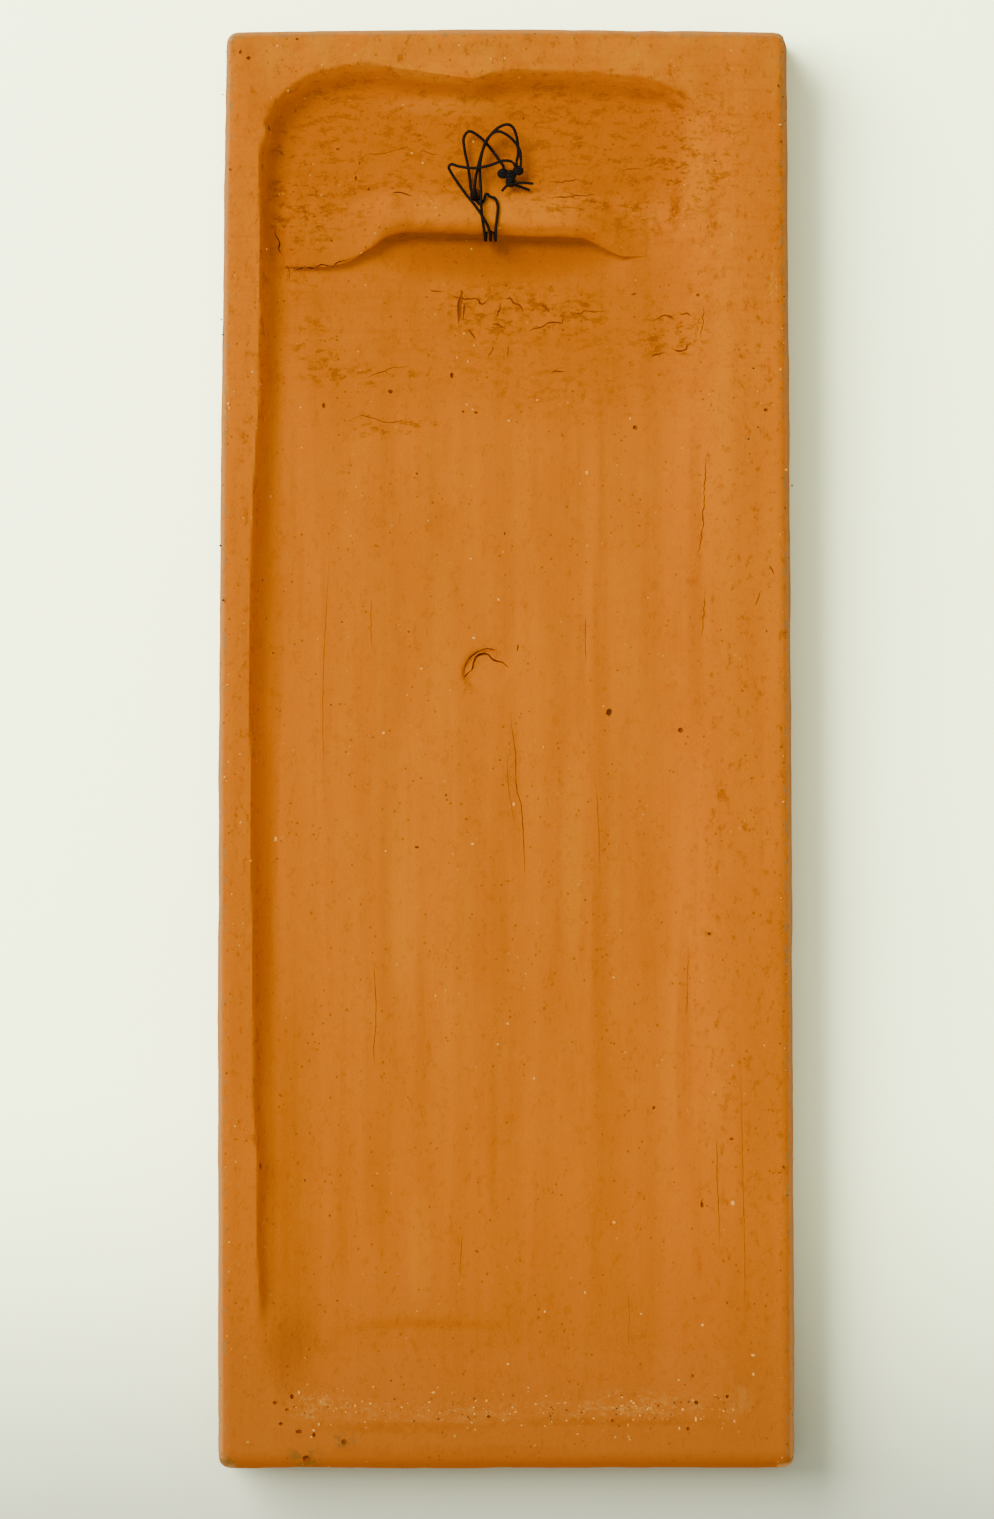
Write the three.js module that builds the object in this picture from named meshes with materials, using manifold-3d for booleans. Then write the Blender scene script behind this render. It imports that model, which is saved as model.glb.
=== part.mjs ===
// Decorative wall plaque of fired terracotta, pressed by hand in a mould, with a waxed cord to hang it by.
//
// Frame: millimetres, +Z up as it hangs. The decorated front faces -Y and the wall is at +Y.
// The back of the rim lies in the plane y = 0, against the wall. The origin is the nail that the
// cord hangs on, on the plaque's centre line. +X is to the right of someone who looks at the front.

import * as THREE from 'three';
import { mergeVertices } from 'three/addons/utils/BufferGeometryUtils.js';
import Module from 'manifold-3d';

const wasm = await Module();
wasm.setup();

const { lerp, smoothstep, degToRad } = THREE.MathUtils;

// Slab
const HEIGHT = 460;
const TOP_WIDTH = 180;
const BOTTOM_WIDTH = 185;
const THICKNESS = 28;
const NAIL_BELOW_TOP = 32;
const CORNER_RADIUS = 4.5;
const SMALLEST_CORNER_RADIUS = 0.8;
const PLUS_SIDE_BOW = 1.2;
const MINUS_SIDE_BOW = 0.3;
const TOP_CROWN = 1;
const BACK_EDGE_ROUND = 4;
const SIDE_DRAFT = 0.8;
const FRONT_EDGE_ROUND = 2;

// Front frame and sunk panel
const FRAME_WIDTH = 15;
const FRAME_STEP = 2.5;
const FRAME_STEP_SLOPE = 0.6;
const FRAME_BEVEL = 3;
const PANEL_DEPTH = 4.5;
const PANEL_CORNER_RADIUS = 6;

// Sunk back: rims, depth, and how far each wall slopes in
const TOP_RIM = 13.5;
const PLUS_RIM = 10;
const MINUS_RIM = 18;
const BOTTOM_RIM = 15;
const RECESS_DEPTH = 9;
const TOP_WALL_RUN = 8;
const PLUS_WALL_RUN = 6.5;
const MINUS_WALL_RUN = 26;
const BOTTOM_WALL_RUN = 24;
const GENTLE_EASE = 0.6;
const UPPER_PLUS_SWEEP = 22;
const UPPER_MINUS_SWEEP = 26;
const LOWER_SWEEP = 24;

// Clay strap that the cord passes behind
const LIP_BELOW_NAIL = 33.6;
const STRAP_COVER = 3.7;
const STRAP_UNDERCUT = 2.6;
const STRAP_PLUS_FULL = 34;
const STRAP_PLUS_END = 60;
const STRAP_PLUS_REST = 0.22;
const STRAP_MINUS_FULL = 24;
const STRAP_MINUS_END = 46;
const LIP_PLUS_DROP = 10;
const LIP_MINUS_DROP = 6;

// Pierced hole behind the strap
const HOLE_RADIUS = 2;
const HOLE_LOWER_X = 5.2;
const HOLE_UPPER_X = 9.2;
const HOLE_WALL_ABOVE = 2.2;

// Fingertip pressed into the middle of the back
const FINGERTIP_X = 6.4;
const FINGERTIP_BELOW_NAIL = 173;
const FINGERTIP_RADIUS = 8;
const FINGERTIP_DEPTH = 1.2;

// Front relief: a leafy stem under a rosette
const RELIEF_HEIGHT = 4;
const RELIEF_ROOT = 1;
const STEM_WIDTH = 7;
const STEM_FOOT_GAP = 16;
const LEAF_PAIRS = 6;
const LEAF_LENGTH = 62;
const LEAF_TAPER = 0.72;
const LEAF_WIDTH = 21;
const LEAF_FOOT_WIDTH = 1.2;
const LOWEST_LEAF = 0.04;
const HIGHEST_LEAF = 0.74;
const LEAF_HEADING = degToRad(38);
const LEAF_BEND = degToRad(24);
const ROSETTE_RADIUS = 38;
const ROSETTE_TOP_GAP = 14;
const PETALS = 8;
const PETAL_WIDTH = 19;
const PETAL_FOOT_WIDTH = 2;
const PETAL_START = 3;
const BLADE_END_RISE = 0.35;
const BOSS_RADIUS = 9;

// Cord
const CORD_DIAMETER = 1;
const CORD_SIDES = 8;

// Working values
const TOP_Z = NAIL_BELOW_TOP;
const BOTTOM_Z = TOP_Z - HEIGHT;
const FRONT_Y = -THICKNESS;
const PANEL_Y = FRONT_Y + PANEL_DEPTH;
const LIP_Z = -LIP_BELOW_NAIL;
const CORNER_STEPS = 4;
const SIDE_STEPS = 8;
const END_STEPS = 4;
const CUTTER_ABOVE = 6;
const EDGE_OVERRUN = 3;

const clay = new THREE.MeshStandardMaterial({ color: 0xc47a2c, roughness: 0.88, metalness: 0 });
const waxedCord = new THREE.MeshStandardMaterial({ color: 0x14110f, roughness: 0.5, metalness: 0 });

// A closed surface built point by point, turned into a solid for joining and cutting
class Shell {
  points = [];
  triangles = [];

  ring(points) {
    const first = this.points.length;
    this.points.push(...points);
    return points.map((_, i) => first + i);
  }

  band(lower, upper, closed = true) {
    const count = closed ? lower.length : lower.length - 1;
    for (let i = 0; i < count; i += 1) {
      const next = (i + 1) % lower.length;
      this.triangles.push([lower[i], lower[next], upper[next]], [lower[i], upper[next], upper[i]]);
    }
  }

  cap(ring, reversed = false) {
    const centre = new THREE.Vector3();
    ring.forEach((i) => centre.add(this.points[i]));
    const [middle] = this.ring([centre.divideScalar(ring.length)]);
    ring.forEach((corner, i) => {
      const next = ring[(i + 1) % ring.length];
      this.triangles.push(reversed ? [middle, next, corner] : [middle, corner, next]);
    });
  }

  solid() {
    const geometry = new THREE.BufferGeometry().setFromPoints(this.points);
    geometry.setIndex(this.triangles.flat());
    return toSolid(geometry);
  }
}

function toSolid(source) {
  const geometry = source.clone();
  geometry.deleteAttribute('normal');
  geometry.deleteAttribute('uv');
  const merged = mergeVertices(geometry, 1e-4);
  const mesh = new wasm.Mesh({
    numProp: 3,
    vertProperties: Float32Array.from(merged.attributes.position.array),
    triVerts: Uint32Array.from(merged.index.array),
  });
  return new wasm.Manifold(mesh);
}

function toMesh(solid, name, material) {
  const { vertProperties, triVerts } = solid.getMesh();
  const geometry = new THREE.BufferGeometry();
  geometry.setAttribute('position', new THREE.BufferAttribute(vertProperties, 3));
  geometry.setIndex(new THREE.BufferAttribute(triVerts, 1));
  geometry.computeVertexNormals();
  const mesh = new THREE.Mesh(geometry, material);
  mesh.name = name;
  return mesh;
}

// Evenly spaced values from one number to another, both ends included
const spread = (from, to, steps) => Array.from({ length: steps + 1 }, (_, i) => lerp(from, to, i / steps));

// Half width of the slab at height z, on the side that sign names
function halfWidth(z, sign) {
  const down = THREE.MathUtils.clamp((TOP_Z - z) / HEIGHT, 0, 1);
  const bow = sign > 0 ? PLUS_SIDE_BOW : MINUS_SIDE_BOW;
  return lerp(TOP_WIDTH, BOTTOM_WIDTH, down) / 2 + bow * 4 * down * (1 - down);
}

// Height of the top edge at x: highest in the middle
const topEdge = (x) => TOP_Z - TOP_CROWN * (x / (TOP_WIDTH / 2)) ** 2;

// The slab's outline in the plane y, drawn in by inset, anticlockwise to someone who looks at the front
function outline(y, inset, radius) {
  const points = [];
  const corner = (sign, z, startAngle) => {
    const centreX = sign * (halfWidth(z, sign) - inset - radius);
    for (const angle of spread(startAngle, startAngle + Math.PI / 2, CORNER_STEPS)) {
      points.push(new THREE.Vector3(centreX + radius * Math.cos(angle), y, z + radius * Math.sin(angle)));
    }
  };
  const topCentre = topEdge(TOP_WIDTH / 2) - inset - radius;
  const bottomCentre = BOTTOM_Z + inset + radius;
  const between = (from, to, steps) => spread(from, to, steps).slice(1, -1);
  corner(1, topCentre, 0);
  const reach = TOP_WIDTH / 2 - inset - radius;
  for (const x of between(reach, -reach, END_STEPS)) points.push(new THREE.Vector3(x, y, topEdge(x) - inset));
  corner(-1, topCentre, Math.PI / 2);
  for (const z of between(topCentre, bottomCentre, SIDE_STEPS)) {
    points.push(new THREE.Vector3(inset - halfWidth(z, -1), y, z));
  }
  corner(-1, bottomCentre, Math.PI);
  for (const share of between(0, 1, END_STEPS)) {
    const ends = [-1, 1].map((sign) => sign * (halfWidth(bottomCentre, sign) - inset - radius));
    points.push(new THREE.Vector3(lerp(ends[0], ends[1], share), y, BOTTOM_Z + inset));
  }
  corner(1, bottomCentre, 1.5 * Math.PI);
  for (const z of between(bottomCentre, topCentre, SIDE_STEPS)) {
    points.push(new THREE.Vector3(halfWidth(z, 1) - inset, y, z));
  }
  return points;
}

// The slab without its sunk back: rounded edges, front frame and sunk front panel
function makeSlab() {
  const rings = [];
  const outerRing = (y, inset) => rings.push(outline(y, inset, Math.max(CORNER_RADIUS - inset, SMALLEST_CORNER_RADIUS)));
  for (const angle of spread(Math.PI / 2, 0, 4)) {
    const inset = SIDE_DRAFT + BACK_EDGE_ROUND * (1 - Math.cos(angle));
    outerRing(-BACK_EDGE_ROUND * (1 - Math.sin(angle)), inset);
  }
  for (const angle of spread(0, Math.PI / 2, 3)) {
    outerRing(FRONT_Y + FRONT_EDGE_ROUND * (1 - Math.sin(angle)), FRONT_EDGE_ROUND * (1 - Math.cos(angle)));
  }
  const panelRing = (y, inset) => rings.push(outline(y, inset, PANEL_CORNER_RADIUS));
  panelRing(FRONT_Y, FRAME_WIDTH);
  panelRing(FRONT_Y + PANEL_DEPTH / 3, FRAME_WIDTH + FRAME_STEP_SLOPE);
  panelRing(FRONT_Y + PANEL_DEPTH / 3, FRAME_WIDTH + FRAME_STEP);
  panelRing(PANEL_Y, FRAME_WIDTH + FRAME_STEP + FRAME_BEVEL);

  const shell = new Shell();
  const indices = rings.map((ring) => shell.ring(ring));
  indices.slice(1).forEach((ring, i) => shell.band(indices[i], ring));
  shell.cap(indices[0], true);
  shell.cap(indices.at(-1));
  return shell.solid();
}

// A steep wall and a gentle one: share of the full depth at a distance in from the wall's edge.
// Both go on past the edge, below zero, so that the cut meets the rim in a clean line.
const steep = (distance, run) => Math.sin(THREE.MathUtils.clamp(distance / run, -1, 1) * Math.PI / 2);
const gentle = (distance, run) => (
  lerp(Math.min(distance / run, 1), smoothstep(distance, 0, run), GENTLE_EASE));

// The swept corner between two walls: each wall's own slope where it starts, and a blend between them
function sweptCorner(first, second, radius) {
  const a = Math.max(radius - first.distance, 0);
  const b = Math.max(radius - second.distance, 0);
  const reach = Math.hypot(a, b);
  if (reach === 0) return 1;
  const share = ({ slope, run }) => slope(radius - reach, Math.min(run, radius));
  return lerp(share(second), share(first), (a / reach) ** 2);
}

// Share of the full depth that the sunk back has at (x, z): 0 at its edge, 1 on its floor
function recessShare(x, z) {
  const plus = { distance: halfWidth(z, 1) - PLUS_RIM - x, run: PLUS_WALL_RUN, slope: steep };
  const top = { distance: topEdge(x) - TOP_RIM - z, run: TOP_WALL_RUN, slope: steep };
  const minus = { distance: halfWidth(z, -1) - MINUS_RIM + x, run: MINUS_WALL_RUN, slope: gentle };
  const bottom = { distance: z - BOTTOM_Z - BOTTOM_RIM, run: BOTTOM_WALL_RUN, slope: gentle };
  const walls = [plus, top, minus, bottom].map(({ distance, run, slope }) => slope(distance, run));
  const corners = [
    sweptCorner(plus, top, UPPER_PLUS_SWEEP),
    sweptCorner(minus, top, UPPER_MINUS_SWEEP),
    sweptCorner(plus, bottom, LOWER_SWEEP),
    sweptCorner(minus, bottom, LOWER_SWEEP),
  ];
  const nearest = Math.min(...walls, ...corners);
  return nearest < 0 ? nearest : Math.min(walls.reduce((product, wall) => product * wall), ...corners);
}

// The strap's section: distance above the lip, and height as a share of the strap's full height.
// It runs down the hollow side, over the lip, back up under it and out on to the floor.
const STRAP_SECTION = [
  [32, 0], [26, 0.09], [21, 0.24], [17, 0.44], [13.5, 0.64], [10, 0.82], [6, 0.95], [2.5, 1], [0.6, 0.94],
  [0, 0.78], [0.25, 0.6], [0.6, 0.4], [1, 0.2], [0.9, 0.06], [-0.8, 0],
];
// Points of the section from this one on lie under the lip, where distances are shares of the undercut
const FIRST_UNDERCUT_POINT = 10;

const strapFullness = (x) => (x > 0
  ? lerp(1, STRAP_PLUS_REST, smoothstep(x, STRAP_PLUS_FULL, STRAP_PLUS_END))
  : 1 - smoothstep(-x, STRAP_MINUS_FULL, STRAP_MINUS_END));

const lipHeight = (x) => LIP_Z - (x > 0
  ? LIP_PLUS_DROP * smoothstep(x, STRAP_PLUS_FULL - 4, STRAP_PLUS_END)
  : LIP_MINUS_DROP * smoothstep(-x, STRAP_MINUS_FULL - 2, STRAP_MINUS_END));

// One column of the sunk back's surface, from above its top edge to below its bottom edge
function recessColumn(x) {
  const column = [];
  const surface = (z, rise) => {
    const share = recessShare(x, z);
    return -share * (share < 0 ? RECESS_DEPTH : RECESS_DEPTH - rise);
  };
  const flat = (z) => column.push(new THREE.Vector3(x, surface(z, 0), z));
  const topWall = topEdge(x) - TOP_RIM;
  const lip = lipHeight(x);
  const strapTop = lip + STRAP_SECTION[0][0];
  const lastAbove = Math.min(topWall - TOP_WALL_RUN, strapTop + EDGE_OVERRUN);
  spread(topWall + EDGE_OVERRUN, topWall - TOP_WALL_RUN, 7).forEach(flat);
  if (lastAbove < topWall - TOP_WALL_RUN) spread(topWall - TOP_WALL_RUN, lastAbove, 2).slice(1).forEach(flat);
  const fullRise = (RECESS_DEPTH - STRAP_COVER) * strapFullness(x);
  STRAP_SECTION.forEach(([distance, height], i) => {
    const undercut = i >= FIRST_UNDERCUT_POINT && distance > 0;
    const z = lip + distance * (undercut ? STRAP_UNDERCUT * strapFullness(x) : 1);
    column.push(new THREE.Vector3(x, surface(Math.min(z, lastAbove), height * fullRise), z));
  });
  const floorTop = lip - 4;
  const floorBottom = BOTTOM_Z + BOTTOM_RIM + BOTTOM_WALL_RUN;
  spread(floorTop, floorBottom, 9).forEach(flat);
  spread(floorBottom, BOTTOM_Z + BOTTOM_RIM - EDGE_OVERRUN, 7).slice(1).forEach(flat);
  return column;
}

// The body that is cut out of the slab's back
function makeRecess() {
  const plusEdge = TOP_WIDTH / 2 - PLUS_RIM;
  const plusOuter = BOTTOM_WIDTH / 2 + PLUS_SIDE_BOW - PLUS_RIM + EDGE_OVERRUN / 2;
  const minusOuter = MINUS_RIM - EDGE_OVERRUN / 2 - BOTTOM_WIDTH / 2 - MINUS_SIDE_BOW;
  const columns = [
    ...spread(plusOuter, plusEdge - PLUS_WALL_RUN, 8),
    ...spread(plusEdge - PLUS_WALL_RUN, STRAP_PLUS_FULL, 6).slice(1),
    ...spread(STRAP_PLUS_FULL, -STRAP_MINUS_FULL, 4).slice(1),
    ...spread(-STRAP_MINUS_FULL, -STRAP_MINUS_END, 4).slice(1),
    ...spread(-STRAP_MINUS_END, minusOuter, 9).slice(1),
  ];
  const shell = new Shell();
  const grid = columns.map((x) => shell.ring(recessColumn(x)));
  grid.slice(1).forEach((column, i) => shell.band(column, grid[i], false));
  const rim = [
    ...grid.map((column) => column[0]),
    ...grid.at(-1).slice(1),
    ...grid.slice(0, -1).reverse().map((column) => column.at(-1)),
    ...grid[0].slice(1, -1).reverse(),
  ];
  const lid = shell.ring(rim.map((i) => shell.points[i].clone().setY(CUTTER_ABOVE)));
  shell.band(lid, rim);
  shell.cap(lid, true);
  return shell.solid();
}

// A round bar with closed ends along a curve
function tube(curve, radius, steps, sides) {
  const section = new THREE.Shape();
  for (let i = 0; i < sides; i += 1) {
    const angle = (2 * Math.PI * i) / sides;
    const move = i === 0 ? 'moveTo' : 'lineTo';
    section[move](radius * Math.cos(angle), radius * Math.sin(angle));
  }
  return new THREE.ExtrudeGeometry(section, { steps, extrudePath: curve, bevelEnabled: false });
}

// The hole from under the lip up to the hollow, that the cord is threaded through
function makeHole() {
  const centreY = -STRAP_COVER - HOLE_WALL_ABOVE - HOLE_RADIUS;
  const path = new THREE.CatmullRomCurve3([
    new THREE.Vector3(HOLE_LOWER_X, centreY, LIP_Z - 5),
    new THREE.Vector3(HOLE_LOWER_X, centreY, LIP_Z),
    new THREE.Vector3(lerp(HOLE_LOWER_X, HOLE_UPPER_X, 0.5), centreY, LIP_Z + 5),
    new THREE.Vector3(HOLE_UPPER_X, centreY + 0.8, LIP_Z + 10),
    new THREE.Vector3(HOLE_UPPER_X + 0.6, centreY + 3.6, LIP_Z + 13.2),
    new THREE.Vector3(HOLE_UPPER_X + 0.8, CORD_DIAMETER, LIP_Z + 15),
  ]);
  return toSolid(tube(path, HOLE_RADIUS, 12, 10));
}

// The shallow dish left by a fingertip
function makeFingertip() {
  const z = -FINGERTIP_BELOW_NAIL;
  const dish = new THREE.SphereGeometry(FINGERTIP_RADIUS, 14, 8);
  dish.scale(1, 2 * FINGERTIP_DEPTH / FINGERTIP_RADIUS, 1);
  dish.translate(FINGERTIP_X, -RECESS_DEPTH + FINGERTIP_DEPTH, z);
  return toSolid(dish);
}

// A crowned blade of relief on the front panel: a leaf, a petal or the stem.
// It starts at (x, z), points along heading, measured from +Z towards +X, and turns by bend on its way.
function makeBlade({ x, z, heading, bend, length, widthAt, height, steps }) {
  const shell = new Shell();
  const rings = [];
  const centre = new THREE.Vector2(x, z);
  const stride = length / steps;
  for (let i = 0; i <= steps; i += 1) {
    const share = i / steps;
    const angle = heading + bend * share;
    const half = widthAt(share) / 2;
    const crown = height * lerp(BLADE_END_RISE, 1, Math.sin(Math.PI * Math.min(0.25 + share * 0.75, 1)));
    const section = [
      [-1, -RELIEF_ROOT], [-1, 0.35 * crown], [-0.55, crown], [0, 0.62 * crown],
      [0.55, crown], [1, 0.35 * crown], [1, -RELIEF_ROOT],
    ];
    rings.push(shell.ring(section.map(([across, rise]) => new THREE.Vector3(
      centre.x + across * half * Math.cos(angle),
      PANEL_Y - rise,
      centre.y - across * half * Math.sin(angle),
    ))));
    centre.x += stride * Math.sin(angle);
    centre.y += stride * Math.cos(angle);
  }
  rings.slice(1).forEach((ring, i) => shell.band(rings[i], ring));
  shell.cap(rings[0], true);
  shell.cap(rings.at(-1));
  return shell.solid();
}

// Widths along a leaf or a petal, from its foot to its tip
const leafWidth = (width) => (share) => (
  LEAF_FOOT_WIDTH + (width - LEAF_FOOT_WIDTH) * Math.sin(Math.PI * share ** 0.8));
const petalWidth = (width) => (share) => (
  PETAL_FOOT_WIDTH + (width - PETAL_FOOT_WIDTH) * Math.sin(Math.PI * Math.min(share, 0.93) ** 1.5));

// The raised ornament: stem, pairs of leaves and rosette, standing on the sunk panel
function makeRelief() {
  const panelEdge = FRAME_WIDTH + FRAME_STEP + FRAME_BEVEL;
  const rosetteZ = TOP_Z - panelEdge - ROSETTE_TOP_GAP - ROSETTE_RADIUS;
  const footZ = BOTTOM_Z + panelEdge + STEM_FOOT_GAP;
  const stemLength = rosetteZ - footZ;
  const blades = [makeBlade({
    x: 0, z: footZ, heading: 0, bend: 0, length: stemLength, height: 0.7 * RELIEF_HEIGHT, steps: 5,
    widthAt: (share) => lerp(STEM_WIDTH, 0.6 * STEM_WIDTH, share),
  })];
  for (let pair = 0; pair < LEAF_PAIRS; pair += 1) {
    const share = pair / (LEAF_PAIRS - 1);
    const size = lerp(1, LEAF_TAPER, share);
    for (const side of [-1, 1]) {
      blades.push(makeBlade({
        x: 0,
        z: footZ + lerp(LOWEST_LEAF, HIGHEST_LEAF, share) * stemLength,
        heading: side * LEAF_HEADING,
        bend: side * LEAF_BEND,
        length: size * LEAF_LENGTH,
        widthAt: leafWidth(size * LEAF_WIDTH),
        height: RELIEF_HEIGHT,
        steps: 7,
      }));
    }
  }
  for (let petal = 0; petal < PETALS; petal += 1) {
    const heading = (2 * Math.PI * (petal + 0.5)) / PETALS;
    blades.push(makeBlade({
      x: PETAL_START * Math.sin(heading),
      z: rosetteZ + PETAL_START * Math.cos(heading),
      heading,
      bend: 0,
      length: ROSETTE_RADIUS - PETAL_START,
      widthAt: petalWidth(PETAL_WIDTH),
      height: 0.85 * RELIEF_HEIGHT,
      steps: 6,
    }));
  }
  const boss = new THREE.SphereGeometry(BOSS_RADIUS, 16, 8);
  boss.scale(1, RELIEF_HEIGHT / BOSS_RADIUS, 1);
  boss.translate(0, PANEL_Y, rosetteZ);
  blades.push(toSolid(boss));
  return blades.reduce((whole, blade) => whole.add(blade));
}

// Routes of the waxed cord, run by run between its two knots, each point as x, y, z.
// Three of the runs turn round the lip and go back up the hole to the lower knot.
const CORD_RUNS = {
  cord_left_loop: {
    steps: 12,
    points: [
      [11.5, -4.7, -19], [11.7, -5.2, -16.5], [12.4, -5.4, -11.5], [13.3, -5.6, -7.4], [13.6, -5.9, -2.9],
      [12, -6.2, -1], [9.1, -6.4, -2.3], [5.9, -6.4, -5.4], [3.3, -5.7, -8.9], [1, -4.6, -12.2],
    ],
  },
  cord_outer_loop: {
    steps: 13,
    points: [
      [10.1, -4.4, -19], [9.9, -4.9, -16.5], [8.8, -5.2, -11.2], [7.2, -5, -6.1], [5, -4.6, -2.2],
      [2.1, -4.2, 0.3], [-0.5, -4.1, 1], [-2.1, -4.2, 0], [-3.4, -4.4, -3.8], [-3.7, -4.6, -8.2],
      [-3.2, -4.6, -10.7],
    ],
  },
  cord_inner_loop: {
    steps: 22,
    points: [
      [-4.6, -3.4, -10.6], [-4.1, -3.3, -7], [-0.8, -3.1, -2.9], [3, -3, -1.3], [6.2, -3.1, -3.8],
      [8.1, -3.4, -9.6], [8.5, -3.5, -14.5], [8.1, -2.9, -20], [8.1, -2.3, -24], [7.8, -2.4, -28.2],
      [7.3, -2.4, -31.8], [6.9, -3, -34.4], [6.7, -4.9, -35.9], [6.6, -6.8, -35], [6.5, -7.5, -33],
      [7.2, -7.6, -30.3], [8.7, -7.6, -27], [10, -7, -24], [10.5, -5.8, -22.2],
    ],
  },
  cord_crossing: {
    steps: 22,
    points: [
      [-1.9, -2.6, -11], [0.8, -2.2, -10.7], [5.3, -2, -12.2], [10.1, -2.1, -13.1], [15.2, -2.6, -12.5],
      [17.7, -3, -11.8], [18.4, -3, -12.7], [17.3, -2.9, -15], [13.6, -2.2, -20.5], [10.1, -1.1, -25],
      [7.5, -1, -28.8], [5.8, -1.8, -32], [5.2, -3, -34.4], [5.1, -4.9, -35.9], [5, -6.6, -35],
      [5, -7.1, -33], [5.7, -7.1, -30.3], [7.2, -7, -27], [8.5, -6.4, -24], [9, -5.4, -22.4],
    ],
  },
  cord_tie: {
    steps: 14,
    points: [
      [9.7, -3.7, -23.4], [8.4, -3.8, -24.3], [7.2, -3.8, -23.2], [6.5, -3.9, -21.1], [5.2, -3.9, -22],
      [3.7, -3.8, -22.6], [2.8, -3.5, -25], [3.1, -3, -29.4], [3.4, -2.5, -32.2], [3.5, -3, -34.4],
      [3.5, -4.9, -35.9], [3.6, -7, -35.2], [4, -8.1, -33], [5.9, -8.5, -30.3], [7.4, -8.5, -27],
      [8.8, -7.9, -24.2], [9.4, -6.9, -22.5],
    ],
  },
};

// Knots: lobes as x, y, z of the centre and the three half sizes, and cut tails as routes
const KNOTS = {
  knot_lower: { lobes: [[10.4, -3.2, -21.2, 1.2, 1.1, 1.6]], tails: [] },
  knot_upper: {
    lobes: [
      [1.1, -3.7, -14.7, 1.9, 1.4, 1.8],
      [-3.8, -3.7, -13.2, 1.9, 1.4, 1.8],
      [-1.4, -3.5, -17.6, 1.9, 1.4, 2],
      [-1.3, -3.6, -14.6, 1.6, 1.1, 1.5],
    ],
    tails: [
      [[-2, -3.2, -17.9], [-5, -2.8, -17.7], [-8.5, -3, -18]],
      [[-2, -4, -18.1], [-4.6, -4.4, -18.9], [-7.4, -4.6, -19.9]],
      [[-0.4, -3.4, -18.4], [0.6, -3.2, -19.3], [1.5, -3.2, -20.3]],
    ],
  },
};

const route = (points) => (
  new THREE.CatmullRomCurve3(points.map((point) => new THREE.Vector3(...point)), false, 'centripetal'));

const makeCord = (name, { steps, points }) => (
  toMesh(toSolid(tube(route(points), CORD_DIAMETER / 2, steps, CORD_SIDES)), name, waxedCord));

function makeKnot(name, { lobes, tails }) {
  const parts = lobes.map(([x, y, z, ...halves]) => {
    const lobe = new THREE.SphereGeometry(1, 10, 6);
    lobe.scale(...halves);
    lobe.translate(x, y, z);
    return toSolid(lobe);
  });
  tails.forEach((points) => parts.push(toSolid(tube(route(points), CORD_DIAMETER / 2, 3, CORD_SIDES))));
  return toMesh(parts.reduce((whole, part) => whole.add(part)), name, waxedCord);
}

function makePlaque() {
  const solid = makeSlab()
    .subtract(makeRecess())
    .subtract(makeFingertip())
    .subtract(makeHole())
    .add(makeRelief());
  return toMesh(solid, 'plaque', clay);
}

const plaque = new THREE.Group();
plaque.add(makePlaque());
Object.entries(CORD_RUNS).forEach(([name, run]) => plaque.add(makeCord(name, run)));
Object.entries(KNOTS).forEach(([name, knot]) => plaque.add(makeKnot(name, knot)));

export default plaque;
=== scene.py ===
# %% [markdown]
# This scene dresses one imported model: a wall plaque of fired terracotta that was pressed by hand in a mould.
# It is seen from the back, with its sunk hollow, the strap of clay and the waxed cord that it hangs by.
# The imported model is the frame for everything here. It is loaded first and never moved, and each piece
# that is made below takes its place from it.

# %% Load the frame
import math

import bmesh
import bpy
import numpy as np
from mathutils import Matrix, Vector


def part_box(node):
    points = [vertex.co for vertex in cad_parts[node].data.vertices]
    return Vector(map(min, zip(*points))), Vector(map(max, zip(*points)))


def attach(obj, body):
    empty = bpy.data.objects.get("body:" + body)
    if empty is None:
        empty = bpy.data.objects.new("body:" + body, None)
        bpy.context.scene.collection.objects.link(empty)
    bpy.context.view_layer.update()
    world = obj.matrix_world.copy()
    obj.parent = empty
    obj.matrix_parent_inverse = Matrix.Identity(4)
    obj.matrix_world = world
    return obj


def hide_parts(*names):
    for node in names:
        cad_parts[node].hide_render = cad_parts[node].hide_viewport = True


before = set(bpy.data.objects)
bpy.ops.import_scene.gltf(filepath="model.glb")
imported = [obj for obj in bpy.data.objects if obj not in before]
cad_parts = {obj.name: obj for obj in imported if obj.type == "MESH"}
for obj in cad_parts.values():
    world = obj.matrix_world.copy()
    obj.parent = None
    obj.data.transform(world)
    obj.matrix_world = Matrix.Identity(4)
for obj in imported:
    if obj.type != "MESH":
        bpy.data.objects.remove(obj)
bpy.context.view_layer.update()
slab_low, slab_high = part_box("plaque")
print("packed nodes:", ", ".join(sorted(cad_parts)))

# %% [markdown]
# Clay is worked in millimetres and Blender counts in metres, so every size below is in millimetres and one
# function turns a finished mesh into metres. Marks on the back are placed where the photograph shows them:
# its pixels are 0.32 mm of the plaque's floor, counted from the nail on the plaque's centre line.

# %% Millimetres and the photograph's scale
MM = 0.001
PHOTO_WIDTH = 994
PHOTO_HEIGHT = 1519
NAIL_COLUMN = 506.5
NAIL_ROW = 130
MM_PER_PIXEL = 0.32


def from_photo(column, row):
    """The place on the back, as x and z in mm, that shows at this point of the photograph."""
    return (NAIL_COLUMN - column) * MM_PER_PIXEL, (NAIL_ROW - row) * MM_PER_PIXEL


def make_object(name, points, faces, *materials):
    """A mesh object from points in mm and faces that list them."""
    mesh = bpy.data.meshes.new(name)
    mesh.from_pydata((np.asarray(points, float) * MM).tolist(), [], faces)
    for material in materials:
        mesh.materials.append(material)
    made = bpy.data.objects.new(name, mesh)
    bpy.context.scene.collection.objects.link(made)
    return made


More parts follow.
